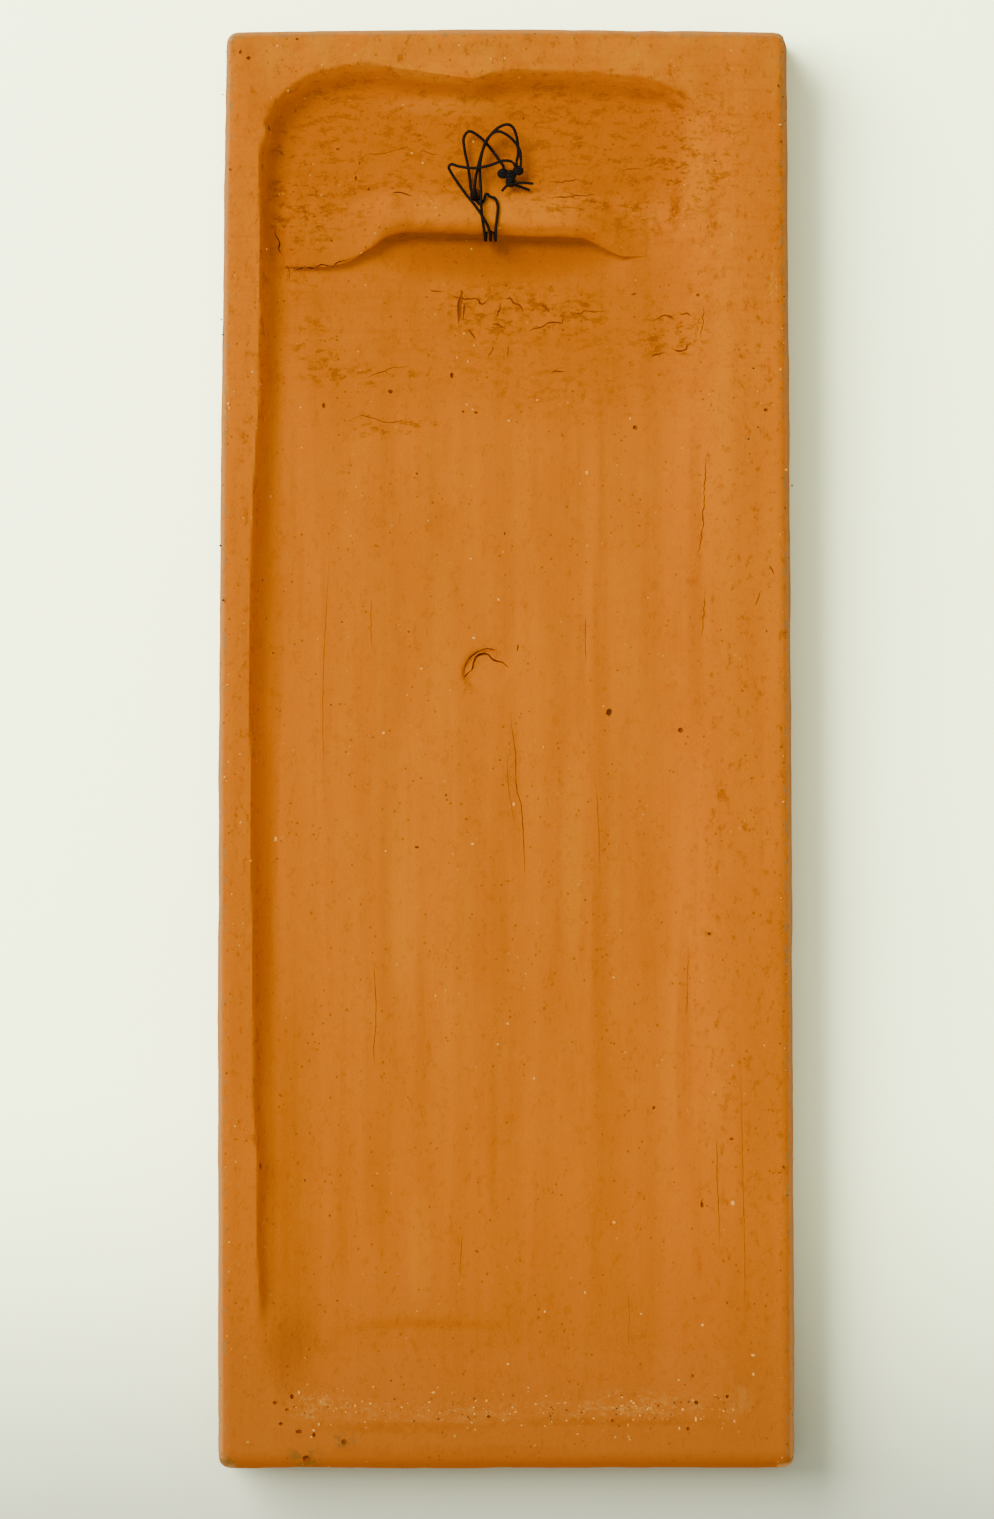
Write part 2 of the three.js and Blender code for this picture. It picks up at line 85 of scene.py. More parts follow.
# %% [markdown]
# The camera looks straight at the back, as the photograph does. It stands two metres away, and its lens is
# worked out from the height that the plaque's back edge takes up in the picture.

# %% Camera
CAMERA_DISTANCE = 2000
SENSOR_SIZE = 36
PLAQUE_ROWS = 1438
BACK_EDGE_DEPTH = 4
SIDE_DRAFT = 0.8

TOP_Z = round(slab_high.z / MM, 2)
BOTTOM_Z = round(slab_low.z / MM, 2)
HEIGHT = TOP_Z - BOTTOM_Z

seen_height = (HEIGHT - 2 * SIDE_DRAFT) * PHOTO_HEIGHT / PLAQUE_ROWS
camera_x, camera_z = from_photo(PHOTO_WIDTH / 2, PHOTO_HEIGHT / 2)
lens = bpy.data.cameras.new("camera")
lens.sensor_width = SENSOR_SIZE
lens.lens = SENSOR_SIZE * (CAMERA_DISTANCE + BACK_EDGE_DEPTH) / seen_height
camera = bpy.data.objects.new("camera", lens)
camera.location = Vector((camera_x, CAMERA_DISTANCE, camera_z)) * MM
camera.rotation_euler = (math.pi / 2, 0, math.pi)
bpy.context.scene.collection.objects.link(camera)
bpy.context.scene.camera = camera
print(f"lens {lens.lens:.1f} mm")

# %% [markdown]
# The cord is black waxed thread, about a millimetre thick and laid up from three plies. It comes out from
# under the strap, stands up in two loops and ends in a knot with cut tails. Each run is a mesh tube swept
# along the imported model's own route: a section with three lobes turns as it goes, which is what a laid
# cord does. The sweep carries its section along without twist of its own, so only the lay turns it.

# %% Smooth routes and sweeps
CORD_DIAMETER = 1.0
CORD_STEP = 0.3
CORD_SIDES = 12
PLIES = 3
PLY_DEPTH = 0.14
LAY_LENGTH = 3.2


def smooth_route(points, step):
    """Points a step apart along a centripetal Catmull-Rom curve through the given ones."""
    given = np.asarray(points, float)
    given = np.vstack([2 * given[0] - given[1], given, 2 * given[-1] - given[-2]])
    fine = []
    for a, b, c, d in zip(given, given[1:], given[2:], given[3:]):
        knots = np.cumsum([0] + [np.linalg.norm(q - p) ** 0.5 for p, q in ((a, b), (b, c), (c, d))])
        t = np.linspace(knots[1], knots[2], 24, endpoint=False)[:, None]
        near = [((hi - t) * p + (t - lo) * q) / (hi - lo)
                for p, q, lo, hi in zip((a, b, c), (b, c, d), knots, knots[1:])]
        mid = [((hi - t) * p + (t - lo) * q) / (hi - lo)
               for p, q, lo, hi in zip(near, near[1:], knots, knots[2:])]
        fine.append(((knots[2] - t) * mid[0] + (t - knots[1]) * mid[1]) / (knots[2] - knots[1]))
    fine = np.vstack([*fine, given[-2]])
    along = np.concatenate([[0], np.cumsum(np.linalg.norm(np.diff(fine, axis=0), axis=1))])
    places = np.linspace(0, along[-1], max(int(round(along[-1] / step)), 2) + 1)
    return np.stack([np.interp(places, along, fine[:, k]) for k in range(3)], axis=1), along[-1]


def sweep(route, radius_at, first=0):
    """A closed tube along a route. radius_at gives the radius for a share of the way and an angle."""
    ahead = np.gradient(route, axis=0)
    ahead /= np.linalg.norm(ahead, axis=1)[:, None]
    side = np.cross(ahead[0], (0.3, 0.8, 0.5))
    points = []
    for place, (centre, direction) in enumerate(zip(route, ahead)):
        side = side - direction * (side @ direction)
        side /= np.linalg.norm(side)
        other = np.cross(direction, side)
        for k in range(CORD_SIDES):
            angle = 2 * math.pi * k / CORD_SIDES
            radius = radius_at(place, angle)
            points.append(centre + radius * (math.cos(angle) * side + math.sin(angle) * other))
    faces = []
    for place in range(len(route) - 1):
        for k in range(CORD_SIDES):
            a = first + place * CORD_SIDES + k
            b = first + place * CORD_SIDES + (k + 1) % CORD_SIDES
            faces.append((a, b, b + CORD_SIDES, a + CORD_SIDES))
    faces.append(tuple(first + k for k in reversed(range(CORD_SIDES))))
    faces.append(tuple(first + (len(route) - 1) * CORD_SIDES + k for k in range(CORD_SIDES)))
    return points, faces


def laid_thread(diameter, step):
    """The radius of a laid cord, which bulges at each ply as they turn round each other."""
    def radius(place, angle):
        turned = PLIES * (angle - 2 * math.pi * place * step / LAY_LENGTH)
        return diameter / 2 * (1 - PLY_DEPTH / 2 + PLY_DEPTH / 2 * math.cos(turned))
    return radius


def shade_smooth(obj, crease=None):
    """Rounds the shading of a mesh, and keeps edges sharp that bend by more than the crease angle."""
    obj.data.shade_smooth()
    if crease is not None:
        obj.data.set_sharp_from_angle(angle=math.radians(crease))


# %% The runs of cord
CORD_RUNS = {
    "cord_left_loop": [
        (11.5, -4.7, -19), (11.7, -5.2, -16.5), (12.4, -5.4, -11.5), (13.3, -5.6, -7.4), (13.6, -5.9, -2.9),
        (12, -6.2, -1), (9.1, -6.4, -2.3), (5.9, -6.4, -5.4), (3.3, -5.7, -8.9), (1, -4.6, -12.2),
    ],
    "cord_outer_loop": [
        (10.1, -4.4, -19), (9.9, -4.9, -16.5), (8.8, -5.2, -11.2), (7.2, -5, -6.1), (5, -4.6, -2.2),
        (2.1, -4.2, 0.3), (-0.5, -4.1, 1), (-2.1, -4.2, 0), (-3.4, -4.4, -3.8), (-3.7, -4.6, -8.2),
        (-3.2, -4.6, -10.7),
    ],
    "cord_inner_loop": [
        (-4.6, -3.4, -10.6), (-4.1, -3.3, -7), (-0.8, -3.1, -2.9), (3, -3, -1.3), (6.2, -3.1, -3.8),
        (8.1, -3.4, -9.6), (8.5, -3.5, -14.5), (8.1, -2.9, -20), (8.1, -2.3, -24), (7.8, -2.4, -28.2),
        (7.3, -2.4, -31.8), (6.9, -3, -34.4), (6.7, -4.9, -35.9), (6.6, -6.8, -35), (6.5, -7.5, -33),
        (7.2, -7.6, -30.3), (8.7, -7.6, -27), (10, -7, -24), (10.5, -5.8, -22.2),
    ],
    "cord_crossing": [
        (-1.9, -2.6, -11), (0.8, -2.2, -10.7), (5.3, -2, -12.2), (10.1, -2.1, -13.1), (15.2, -2.6, -12.5),
        (17.7, -3, -11.8), (18.4, -3, -12.7), (17.3, -2.9, -15), (13.6, -2.2, -20.5), (10.1, -1.1, -25),
        (7.5, -1, -28.8), (5.8, -1.8, -32), (5.2, -3, -34.4), (5.1, -4.9, -35.9), (5, -6.6, -35),
        (5, -7.1, -33), (5.7, -7.1, -30.3), (7.2, -7, -27), (8.5, -6.4, -24), (9, -5.4, -22.4),
    ],
    "cord_tie": [
        (9.7, -3.7, -23.4), (8.4, -3.8, -24.3), (7.2, -3.8, -23.2), (6.5, -3.9, -21.1), (5.2, -3.9, -22),
        (3.7, -3.8, -22.6), (2.8, -3.5, -25), (3.1, -3, -29.4), (3.4, -2.5, -32.2), (3.5, -3, -34.4),
        (3.5, -4.9, -35.9), (3.6, -7, -35.2), (4, -8.1, -33), (5.9, -8.5, -30.3), (7.4, -8.5, -27),
        (8.8, -7.9, -24.2), (9.4, -6.9, -22.5),
    ],
}

cord_pieces = []
for node_name, points in CORD_RUNS.items():
    route, length = smooth_route(points, CORD_STEP)
    cord_piece = make_object(f"waxed_{node_name}", *sweep(route, laid_thread(CORD_DIAMETER, CORD_STEP)))
    shade_smooth(cord_piece)
    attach(cord_piece, "root")
    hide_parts(node_name)
    cord_pieces.append(cord_piece)
    print(f"{node_name}: {length:.1f} mm")

# %% [markdown]
# The knots are the same thread wound on itself. A tube that circles a small ball while the ball's axis
# turns gives the crossing turns of a pulled knot. The upper knot has four such lobes and three cut tails.
# The other short tubes lead from a knot to the ends of the runs that meet in it.

# %% The two knots
KNOTS = {
    "knot_lower": {
        "lobes": [(10.4, -3.2, -21.2, 1.2, 1.1, 1.6)],
        "tails": [
            [(11.5, -4.7, -19.1), (11.3, -4.2, -20), (10.7, -3.6, -21)],
            [(10.1, -4.4, -19.1), (10.1, -4, -20), (10.3, -3.5, -21)],
        ],
    },
    "knot_upper": {
        "lobes": [
            (1.1, -3.7, -14.7, 1.9, 1.4, 1.7), (-3.7, -3.7, -13.8, 1.8, 1.4, 1.6),
            (-1.4, -3.5, -17.4, 1.7, 1.4, 1.8), (-1.3, -3.6, -15.2, 1.9, 1.3, 1.7),
        ],
        "tails": [
            [(1, -4.6, -12.3), (0.9, -4.3, -13.2), (0.6, -3.9, -14.4)],
            [(-3.2, -4.6, -10.8), (-3.3, -4.4, -12), (-3.5, -4, -13.4)],
            [(-4.6, -3.4, -10.7), (-4.5, -3.4, -12), (-4, -3.5, -13.4)],
            [(-2, -2.6, -11.1), (-2.6, -2.8, -12.2), (-3.2, -3.2, -13.4)],
            [(-2, -3.2, -17.9), (-5, -2.8, -17.7), (-8.5, -3, -18)],
            [(-2, -4, -18.1), (-4.6, -4.4, -18.9), (-7.4, -4.6, -19.9)],
            [(-0.4, -3.4, -18.4), (0.6, -3.2, -19.3), (1.5, -3.2, -20.3)],
        ],
    },
}
KNOT_THREAD = 0.92
KNOT_TURNS = 4.3
KNOT_STEP = 0.22


def wound_ball(centre, halves, lean):
    """A route that winds round a ball, each turn leaning further than the last."""
    share = np.linspace(0, 1, 90)
    turn = 2 * math.pi * KNOT_TURNS * share
    tilt = lean + math.pi * share
    circle = np.stack([np.cos(turn), np.sin(turn) * np.cos(tilt), np.sin(turn) * np.sin(tilt)], axis=1)
    return np.asarray(centre) + circle * (np.asarray(halves) - KNOT_THREAD / 2)


for node_name, knot in KNOTS.items():
    routes = []
    for index, (x, y, z, *halves) in enumerate(knot["lobes"]):
        routes.append(smooth_route(wound_ball((x, y, z), halves, 0.7 + 1.3 * index), KNOT_STEP)[0])
    routes += [smooth_route(tail, KNOT_STEP)[0] for tail in knot["tails"]]
    points, faces = [], []
    for route in routes:
        tube_points, tube_faces = sweep(route, laid_thread(KNOT_THREAD, KNOT_STEP), len(points))
        points += tube_points
        faces += tube_faces
    knot_piece = make_object(f"waxed_{node_name}", points, faces)
    shade_smooth(knot_piece)
    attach(knot_piece, "root")
    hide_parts(node_name)
    cord_pieces.append(knot_piece)
    print(f"{node_name}: {len(routes)} tubes")

# %% [markdown]
# The plaque itself comes next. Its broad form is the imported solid's: an outline that widens a little
# towards the foot, rims, two steep walls and two gentle ones, and the strap. The functions below give that
# form at any place, so that the fine surface follows the solid, and only the hand's work is added to it. It
# also made the rims' edges wander, and smeared the steep wall at the picture's left away towards the foot.

# %% Helpers for shapes in numpy
def ease(value, start, end):
    """From 0 at start to 1 at end, smoothly. It also works with start above end."""
    share = np.clip((value - start) / (end - start), 0, 1)
    return share * share * (3 - 2 * share)


def between(start, end, share):
    """The value that lies this share of the way from start to end."""
    return start + (end - start) * share


def lumps(x, z, size_x, size_z, seed):
    """Smooth random heights from -1 to 1, with lumps of these sizes in mm."""
    lattice = np.random.default_rng(seed).uniform(-1, 1, (256, 256))
    u = np.asarray(x) / size_x + 40.37
    v = np.asarray(z) / size_z + 71.61
    column = np.floor(u).astype(int)
    row = np.floor(v).astype(int)
    s = ease(u - column, 0, 1)
    t = ease(v - row, 0, 1)
    corner = [[lattice[(column + i) % 256, (row + j) % 256] for j in (0, 1)] for i in (0, 1)]
    return between(between(corner[0][0], corner[1][0], s), between(corner[0][1], corner[1][1], s), t)


# %% The outline and the sunk back
TOP_WIDTH = 180
BOTTOM_WIDTH = 185
PLUS_SIDE_BOW = 1.2
MINUS_SIDE_BOW = 0.3
TOP_CROWN = 1
TOP_RIM = 13.5
PLUS_RIM = 10
MINUS_RIM = 18
BOTTOM_RIM = 15
RECESS_DEPTH = 9
TOP_WALL_RUN = 8
PLUS_WALL_RUN = 6.5
MINUS_WALL_RUN = 26
BOTTOM_WALL_RUN = 24
GENTLE_EASE = 0.6
FOOT_STEP_RUN = 3
FOOT_STEP_SHARE = 0.38
FOOT_RISE_RUN = 18
FOOT_FADE = 0.75
WALL_FADES = (240, 360)
WALL_GOES = (368, 385)
UPPER_PLUS_SWEEP = 26
UPPER_MINUS_SWEEP = 26
LOWER_SWEEP = 24
RIM_EDGE_ROUND = 0.5

# Where the hand left the rim wider or narrower than even, as height or x, and the extra width
PLUS_RIM_WANDER = [
    (-413, 4), (-374, 4.2), (-345, 3.2), (-331, 3.6), (-310, 2.3), (-246, 1.6), (-182, 0.6), (-159, 0.6),
    (-134, 0.7), (-118, 1.1), (-100, 2.2), (-86, 3), (-61, 2.7), (-7, 2.2), (-4, 4), (-1.5, 3.6), (0.5, 1.8),
    (14, 1.4),
]
TOP_RIM_WANDER = [
    (-64, 6), (-53, 4.4), (-43, 2.3), (-30, 1.1), (-12, 0.6), (4, 0.7), (10, 2.9), (15, 2.5),
    (21, 1.5), (34, -0.4), (44, -2.2), (56, -0.5), (80, 0),
]


def wander(table, at):
    """The extra width at a place, from a table of places and widths."""
    places, widths = zip(*table)
    return np.interp(at, places, widths)


def half_width(z, sign):
    """Half the outline's width at height z, on the side that sign names."""
    down = np.clip((TOP_Z - z) / HEIGHT, 0, 1)
    bow = np.where(np.asarray(sign) > 0, PLUS_SIDE_BOW, MINUS_SIDE_BOW)
    return between(TOP_WIDTH, BOTTOM_WIDTH, down) / 2 + bow * 4 * down * (1 - down)


def top_edge(x):
    """Height of the outline's top edge, which is highest in the middle."""
    return TOP_Z - TOP_CROWN * (x / (TOP_WIDTH / 2)) ** 2


def steep(distance, run):
    """A steep wall: share of the full depth at a distance in from its edge."""
    return np.sin(np.clip(distance / run, -1, 1) * math.pi / 2)


def gentle(distance, run):
    """A gentle wall, which starts and ends more softly."""
    return between(np.minimum(distance / run, 1), ease(distance, 0, run), GENTLE_EASE)


def fading(z):
    """The steep wall's slope, which fades towards the foot into a low step over a gentle rise."""
    gone = ease(-z, *WALL_GOES)
    faded = between(FOOT_FADE * ease(-z, *WALL_FADES), 1, gone)
    step_share = FOOT_STEP_SHARE * (1 - gone)

    def slope(distance, run):
        low = between(gentle(distance, FOOT_RISE_RUN), steep(distance, FOOT_STEP_RUN), step_share)
        return between(steep(distance, run), low, faded)

    return slope


def swept_corner(first, second, radius):
    """The rounded corner between two walls, each given as its distance, run and slope."""
    a = np.maximum(radius - first[0], 0)
    b = np.maximum(radius - second[0], 0)
    reach = np.hypot(a, b)
    shares = [slope(radius - reach, min(run, radius)) for _, run, slope in (first, second)]
    blend = (a / np.maximum(reach, 1e-6)) ** 2
    return np.where(reach > 0, between(shares[1], shares[0], blend), 1)


def recess_share(x, z):
    """Share of the full depth that the sunk back has at a place: 0 on the rim and 1 on the floor."""
    plus_edge = half_width(z, 1) - PLUS_RIM - wander(PLUS_RIM_WANDER, z) + 0.25 * lumps(x, z, 40, 13, 11)
    top_wall = top_edge(x) - TOP_RIM - wander(TOP_RIM_WANDER, x) + 0.4 * lumps(x, z, 12, 40, 12)
    plus = (plus_edge - x + 0.1 * lumps(x, z, 40, 4, 13), PLUS_WALL_RUN, fading(z))
    top = (top_wall - z + 0.15 * lumps(x, z, 4, 40, 14), TOP_WALL_RUN, steep)
    minus = (half_width(z, -1) - MINUS_RIM + x + 1.5 * lumps(x, z, 60, 45, 15), MINUS_WALL_RUN, gentle)
    bottom = (z - BOTTOM_Z - BOTTOM_RIM + 1.5 * lumps(x, z, 30, 60, 16), BOTTOM_WALL_RUN, gentle)
    walls = [slope(distance, run) for distance, run, slope in (plus, top, minus, bottom)]
    corners = [
        swept_corner(plus, top, UPPER_PLUS_SWEEP),
        swept_corner(minus, top, UPPER_MINUS_SWEEP),
        swept_corner(plus, bottom, LOWER_SWEEP),
        swept_corner(minus, bottom, LOWER_SWEEP),
    ]
    product = np.prod([np.maximum(wall, 0) for wall in walls], axis=0)
    corner = np.minimum.reduce(corners)
    outside = np.minimum.reduce([*walls, corner])
    share = np.where(outside < 0, outside, np.minimum(product, corner))
    rounding = RIM_EDGE_ROUND / RECESS_DEPTH
    return (share + np.sqrt(share ** 2 + rounding ** 2)) / 2


# %% [markdown]
# The strap is a band of clay laid across the hollow, with an undercut lip that the cord comes out from
# under. Its section is a row of points, taken from the hollow over the lip and back to the floor, each with
# its distance in mm and its share of the full height. A smooth curve through them gives as many rows of the
# mesh as the turn of the lip needs. Distances are divided by one scale first, so that both count alike.

# %% The strap's section
LIP_Z = -33.6
STRAP_COVER = 3.7
STRAP_UNDERCUT = 2.6
STRAP_PLUS_FULL = 34
STRAP_PLUS_END = 60
STRAP_PLUS_REST = 0.42
LOBE_FULL = 68
LOBE_END = 73
STRAP_MINUS_FULL = 24
STRAP_MINUS_END = 46
LIP_PLUS_DROP = 11
LIP_MINUS_DROP = 5.6
LIP_TILT = 0.035
LIP_TILT_REACH = 30
LIP_SINK = 0.5
LIP_RAGGED_FROM = 36
LIP_RAGGED_FULL = 42
STRAP_SECTION = [
    (32, 0), (26, 0.09), (21, 0.24), (17, 0.44), (13.5, 0.64), (10, 0.82), (6, 0.95), (2.5, 1), (0.6, 0.94),
    (0, 0.78), (0.25, 0.6), (0.6, 0.4), (1, 0.2), (0.9, 0.06), (-0.8, 0),
]
STRAP_STEP = 0.09
SECTION_SCALE = 14
CREST_HEIGHT = 0.7

section_points = np.array([(distance / SECTION_SCALE, height, 0) for distance, height in STRAP_SECTION])
section = smooth_route(section_points, STRAP_STEP)[0]
strap_distance = section[:, 0] * SECTION_SCALE
strap_height = section[:, 1]
lowest = int(np.argmin(np.where(strap_height > CREST_HEIGHT, strap_distance, np.inf)))
strap_under = (np.arange(len(section)) > lowest) & (strap_distance > 0)
print("rows over the strap:", len(section))


def strap_fullness(x):
    """How much of the strap's full height stands at x: it dies away to both sides."""
    plus = between(1, STRAP_PLUS_REST, ease(x, STRAP_PLUS_FULL, STRAP_PLUS_END))
    plus = plus * ease(x, LOBE_END, LOBE_FULL)
    minus = 1 - ease(-x, STRAP_MINUS_FULL, STRAP_MINUS_END)
    return np.where(x > 0, plus, minus)


def lip_height(x):
    """Height of the lip's edge, which drops at both ends."""
    plus = LIP_PLUS_DROP * ease(x, STRAP_PLUS_FULL - 2, STRAP_PLUS_END - 4)
    minus = LIP_MINUS_DROP * ease(-x, STRAP_MINUS_FULL - 2, STRAP_MINUS_END - 8)
    tilt = LIP_TILT * np.clip(x, -LIP_TILT_REACH, LIP_TILT_REACH) - LIP_SINK
    ragged = (0.25 + 0.3 * ease(x, LIP_RAGGED_FROM, LIP_RAGGED_FULL)) * lumps(x, 0 * x, 4, 5, 21)
    return LIP_Z + tilt - np.where(x > 0, plus, minus) + ragged


# %% [markdown]
# The hand's marks come on top of the form. Fingers dragged the clay down the floor and left long flat
# channels with faint ridges between them. In the hollow they went sideways. A fingertip pressed one round
# dish, and where the clay was dry it tore into crumbs. Each mark is one short sum of smooth random lumps.

# %% The hand's marks
RIDGE_COLUMNS = (284, 328, 376, 414, 456, 492, 540, 592, 640, 690, 716, 740, 775)
CHANNEL_DEPTH = 0.55
SCOOP_DEPTH = 2.4
SCOOP_REACH = 15
FOOT_WAVE_LEFT_COLUMN = 335
FOOT_WAVE_RIGHT_COLUMN = 520
FOOT_WAVE_ROW = 1322
FOOT_WAVE_HEIGHT = 0.8
FLOOR_TOP = -46
FLOOR_BOTTOM = -392
FINGERTIP_COLUMN = 487
FINGERTIP_ROW = 672
FINGERTIP_RADIUS = 8
FINGERTIP_DEPTH = 1.6
TORN_PATCHES = {
    "below the lip": (520, 306, 90, 26),
    "right of the lip": (676, 330, 34, 22),
    "left of the hollow": (300, 190, 34, 60),
    "foot of the strap": (600, 205, 60, 14),
}
# Dents and bumps of a fingertip's size: column and row in the photograph, reach in x and z, and height
DENTS = {
    "dip in the top rim": (455, 62, 16, 3.2, -1.3),
    "small dip in the top rim": (300, 50, 5, 3, -0.4),
    "end of the hollow": (660, 214, 6, 9, -1.1),
    "heap right of the hollow": (690, 215, 5, 9, 0.7),
    "right end of the strap": (590, 222, 12, 6, 0.6),
    "ledge under the lobe": (272, 300, 5, 10, 0.8),
    "lump on the left wall": (262, 1166, 3.4, 4.5, 0.9),
    "press mark by the left wall": (300, 1190, 9, 16, -0.4),
    "dark hollow in the lower floor": (362, 1210, 8, 22, -0.45),
    "heap in the right foot corner": (700, 1360, 12, 10, 0.5),
    "dip under the tears": (610, 380, 16, 12, -0.4),
}

ridges = sorted(from_photo(column, 0)[0] for column in RIDGE_COLUMNS)
fingertip_x, fingertip_z = from_photo(FINGERTIP_COLUMN, FINGERTIP_ROW)


def finger_drags(x, z):
    """Shallow channels down the floor, with a faint ridge between each two."""
    wavering = x + 1.6 * lumps(x, z, 60, 70, 31) + 0.5 * lumps(x, z, 30, 18, 32)
    index = np.clip(np.searchsorted(ridges, wavering) - 1, 0, len(ridges) - 2)
    left = np.take(ridges, index)
    right = np.take(ridges, index + 1)
    share = np.clip((wavering - left) / (right - left), 0, 1)
    strength = 0.65 + 0.5 * lumps(index * 7.3, z, 1, 60, 33)
    reach = ease(z, FLOOR_TOP, FLOOR_TOP - 40) * ease(z, FLOOR_BOTTOM, FLOOR_BOTTOM + 30)
    return -CHANNEL_DEPTH * 4 * share * (1 - share) * strength * reach


def fingertip_dish(x, z):
    """A round dish with a steep side at the upper left of the picture, and a flap of clay inside it."""
    dx = x - fingertip_x
    dz = z - fingertip_z
    radius = np.hypot(dx, dz) + 0.35 * lumps(x, z, 3, 3, 41)
    towards = (dx + dz) / (1.4 * FINGERTIP_RADIUS)
    dish = (1 - ease(radius, FINGERTIP_RADIUS - 1.5, FINGERTIP_RADIUS)) * ease(towards, -1.2, 0.4)
    flap = ease(towards, 0.1, 0.7) * np.exp(-((radius - 5.2) / 0.8) ** 2)
    return -FINGERTIP_DEPTH * dish + 0.7 * flap


def lip_scoop(x, z):
    """The floor just below the lip was scooped out deeper, so that it runs in under the strap."""
    below = lip_height(x) - z
    across = ease(x, 46, 30) * ease(x, -44, -24)
    return -SCOOP_DEPTH * across * np.where(below > 0, 1 - ease(below, 0, SCOOP_REACH), ease(below, -4, 0))


def foot_wave(x, z):
    """A shallow step across the lower floor, where one stroke of the hand ended."""
    left, row = from_photo(FOOT_WAVE_LEFT_COLUMN, FOOT_WAVE_ROW)
    right = from_photo(FOOT_WAVE_RIGHT_COLUMN, FOOT_WAVE_ROW)[0]
    bend = 3 * ((x - (left + right) / 2) / (left - right)) ** 2
    across = ease(x, left + 4, left - 6) * ease(x, right - 4, right + 8)
    up = z - row + 4 * bend
    return FOOT_WAVE_HEIGHT * across * ease(up, -1.6, 1.6) * ease(up, 22, 2)


def dents(x, z):
    """All the dents and bumps that stand in the table."""
    height = np.zeros_like(x)
    for column, row, reach_x, reach_z, rise in DENTS.values():
        centre_x, centre_z = from_photo(column, row)
        height = height + rise * np.exp(-((x - centre_x) / reach_x) ** 2 - ((z - centre_z) / reach_z) ** 2)
    return height


def torn_mask(x, z):
    """1 where the dry clay tore into crumbs and 0 elsewhere."""
    mask = np.zeros_like(x)
    for column, row, half_columns, half_rows in TORN_PATCHES.values():
        centre_x, centre_z = from_photo(column, row)
        across = (x - centre_x) / (half_columns * MM_PER_PIXEL)
        up = (z - centre_z) / (half_rows * MM_PER_PIXEL)
        mask = np.maximum(mask, 1 - ease(np.hypot(across, up), 0.6, 1.2))
    return mask


def hand_marks(x, z, depth_share):
    """Everything the hand left on the clay, as a height in mm to add to the even surface."""
    floor = ease(depth_share, 0.3, 0.9)
    hollow = floor * ease(z, LIP_Z - 12, LIP_Z + 4)
    below = floor - hollow
    broad = 0.35 * lumps(x, z, 34, 46, 51) + 0.18 * lumps(x, z, 13, 17, 52)
    sideways = 0.34 * lumps(x, z, 24, 3.6, 53) + 0.2 * lumps(x, z, 8, 2.4, 54) + 0.12 * lumps(x, z, 3, 2, 60)
    downwards = 0.1 * lumps(x, z, 2.2, 34, 55) + 0.06 * lumps(x, z, 1.3, 60, 56)
    crumbs = 0.42 * lumps(x, z, 3.6, 2.6, 57) + 0.26 * lumps(x, z, 1.7, 1.5, 58)
    grain = 0.035 * lumps(x, z, 1.5, 1.5, 59)
    return (
        broad
        + hollow * sideways
        + below * (finger_drags(x, z) + downwards)
        + fingertip_dish(x, z)
        + lip_scoop(x, z)
        + foot_wave(x, z)
        + dents(x, z)
        + torn_mask(x, z) * floor * crumbs
        + grain
    )


def back_surface(x, z, rise=0):
    """Height of the back's surface in mm, with the strap's rise over the floor where there is one."""
    share = recess_share(x, z)
    marks = hand_marks(x, z, share)
    near_edge = np.minimum(half_width(z, x) - np.abs(x), np.minimum(top_edge(x) - z, z - BOTTOM_Z))
    return -share * (RECESS_DEPTH - rise) + marks * ease(near_edge, 3, 9)


# %% [markdown]
# The back is one grid of columns and rows. The columns stand closer together where the steep wall is, and
# the rows follow the walls and the strap, so that edges run along the mesh and stay clean. Under the lip
# the same rows turn back, which a plain height map couldn't do.

# %% Columns and rows of the back
GRID_INSET = 5.5
COLUMN_SPANS = [(-76, 10), (-44, 28), (66, 96), (None, 30)]
WALL_TOP_MARGIN = 2
WALL_SPAN = 11
FINE_FLOOR_Z = -80
DISH_TOP_Z = -160
DISH_BOTTOM_Z = -186
FOOT_SLOPE_Z = -370

middle_z = (TOP_Z + BOTTOM_Z) / 2
minus_end = -(float(half_width(middle_z, -1)) - GRID_INSET)
plus_end = float(half_width(middle_z, 1)) - GRID_INSET


def spans(start, stops):
    """Values from start through each stop, with the number of steps that the stop asks for."""
    values = [np.array([start])]
    for stop, steps in stops:
        values.append(np.linspace(values[-1][-1], stop, steps + 1)[1:])
    return np.concatenate(values)


columns = spans(minus_end, [(plus_end if stop is None else stop, steps) for stop, steps in COLUMN_SPANS])
wall_top = top_edge(columns) - TOP_RIM - wander(TOP_RIM_WANDER, columns) + WALL_TOP_MARGIN
lip = lip_height(columns)
row_stops = [
    (wall_top, 6), (wall_top - WALL_SPAN, 15), (lip + strap_distance[0], 9), (None, len(section) - 1),
    (0 * lip + FINE_FLOOR_Z, 32), (0 * lip + DISH_TOP_Z, 42), (0 * lip + DISH_BOTTOM_Z, 26),
    (0 * lip + FOOT_SLOPE_Z, 82), (0 * lip + BOTTOM_Z + GRID_INSET, 41),
]
rows = [top_edge(columns) - GRID_INSET]
rises = [0 * columns]
fullness = strap_fullness(columns)
for stop, steps in row_stops:
    if stop is None:
        for k in range(1, len(section)):
            stretch = STRAP_UNDERCUT * fullness if strap_under[k] else 1
            rows.append(lip + strap_distance[k] * stretch)
            rises.append(np.clip(strap_height[k], 0, 1.02) * (RECESS_DEPTH - STRAP_COVER) * fullness)
    else:
        start = rows[-1]
        for step in range(1, steps + 1):
            rows.append(between(start, stop, step / steps))
            rises.append(0 * columns)
if len(rows) % 2 == 0:
    rows.insert(-1, between(rows[-2], rows[-1], 0.5))
    rises.insert(-1, 0 * columns)

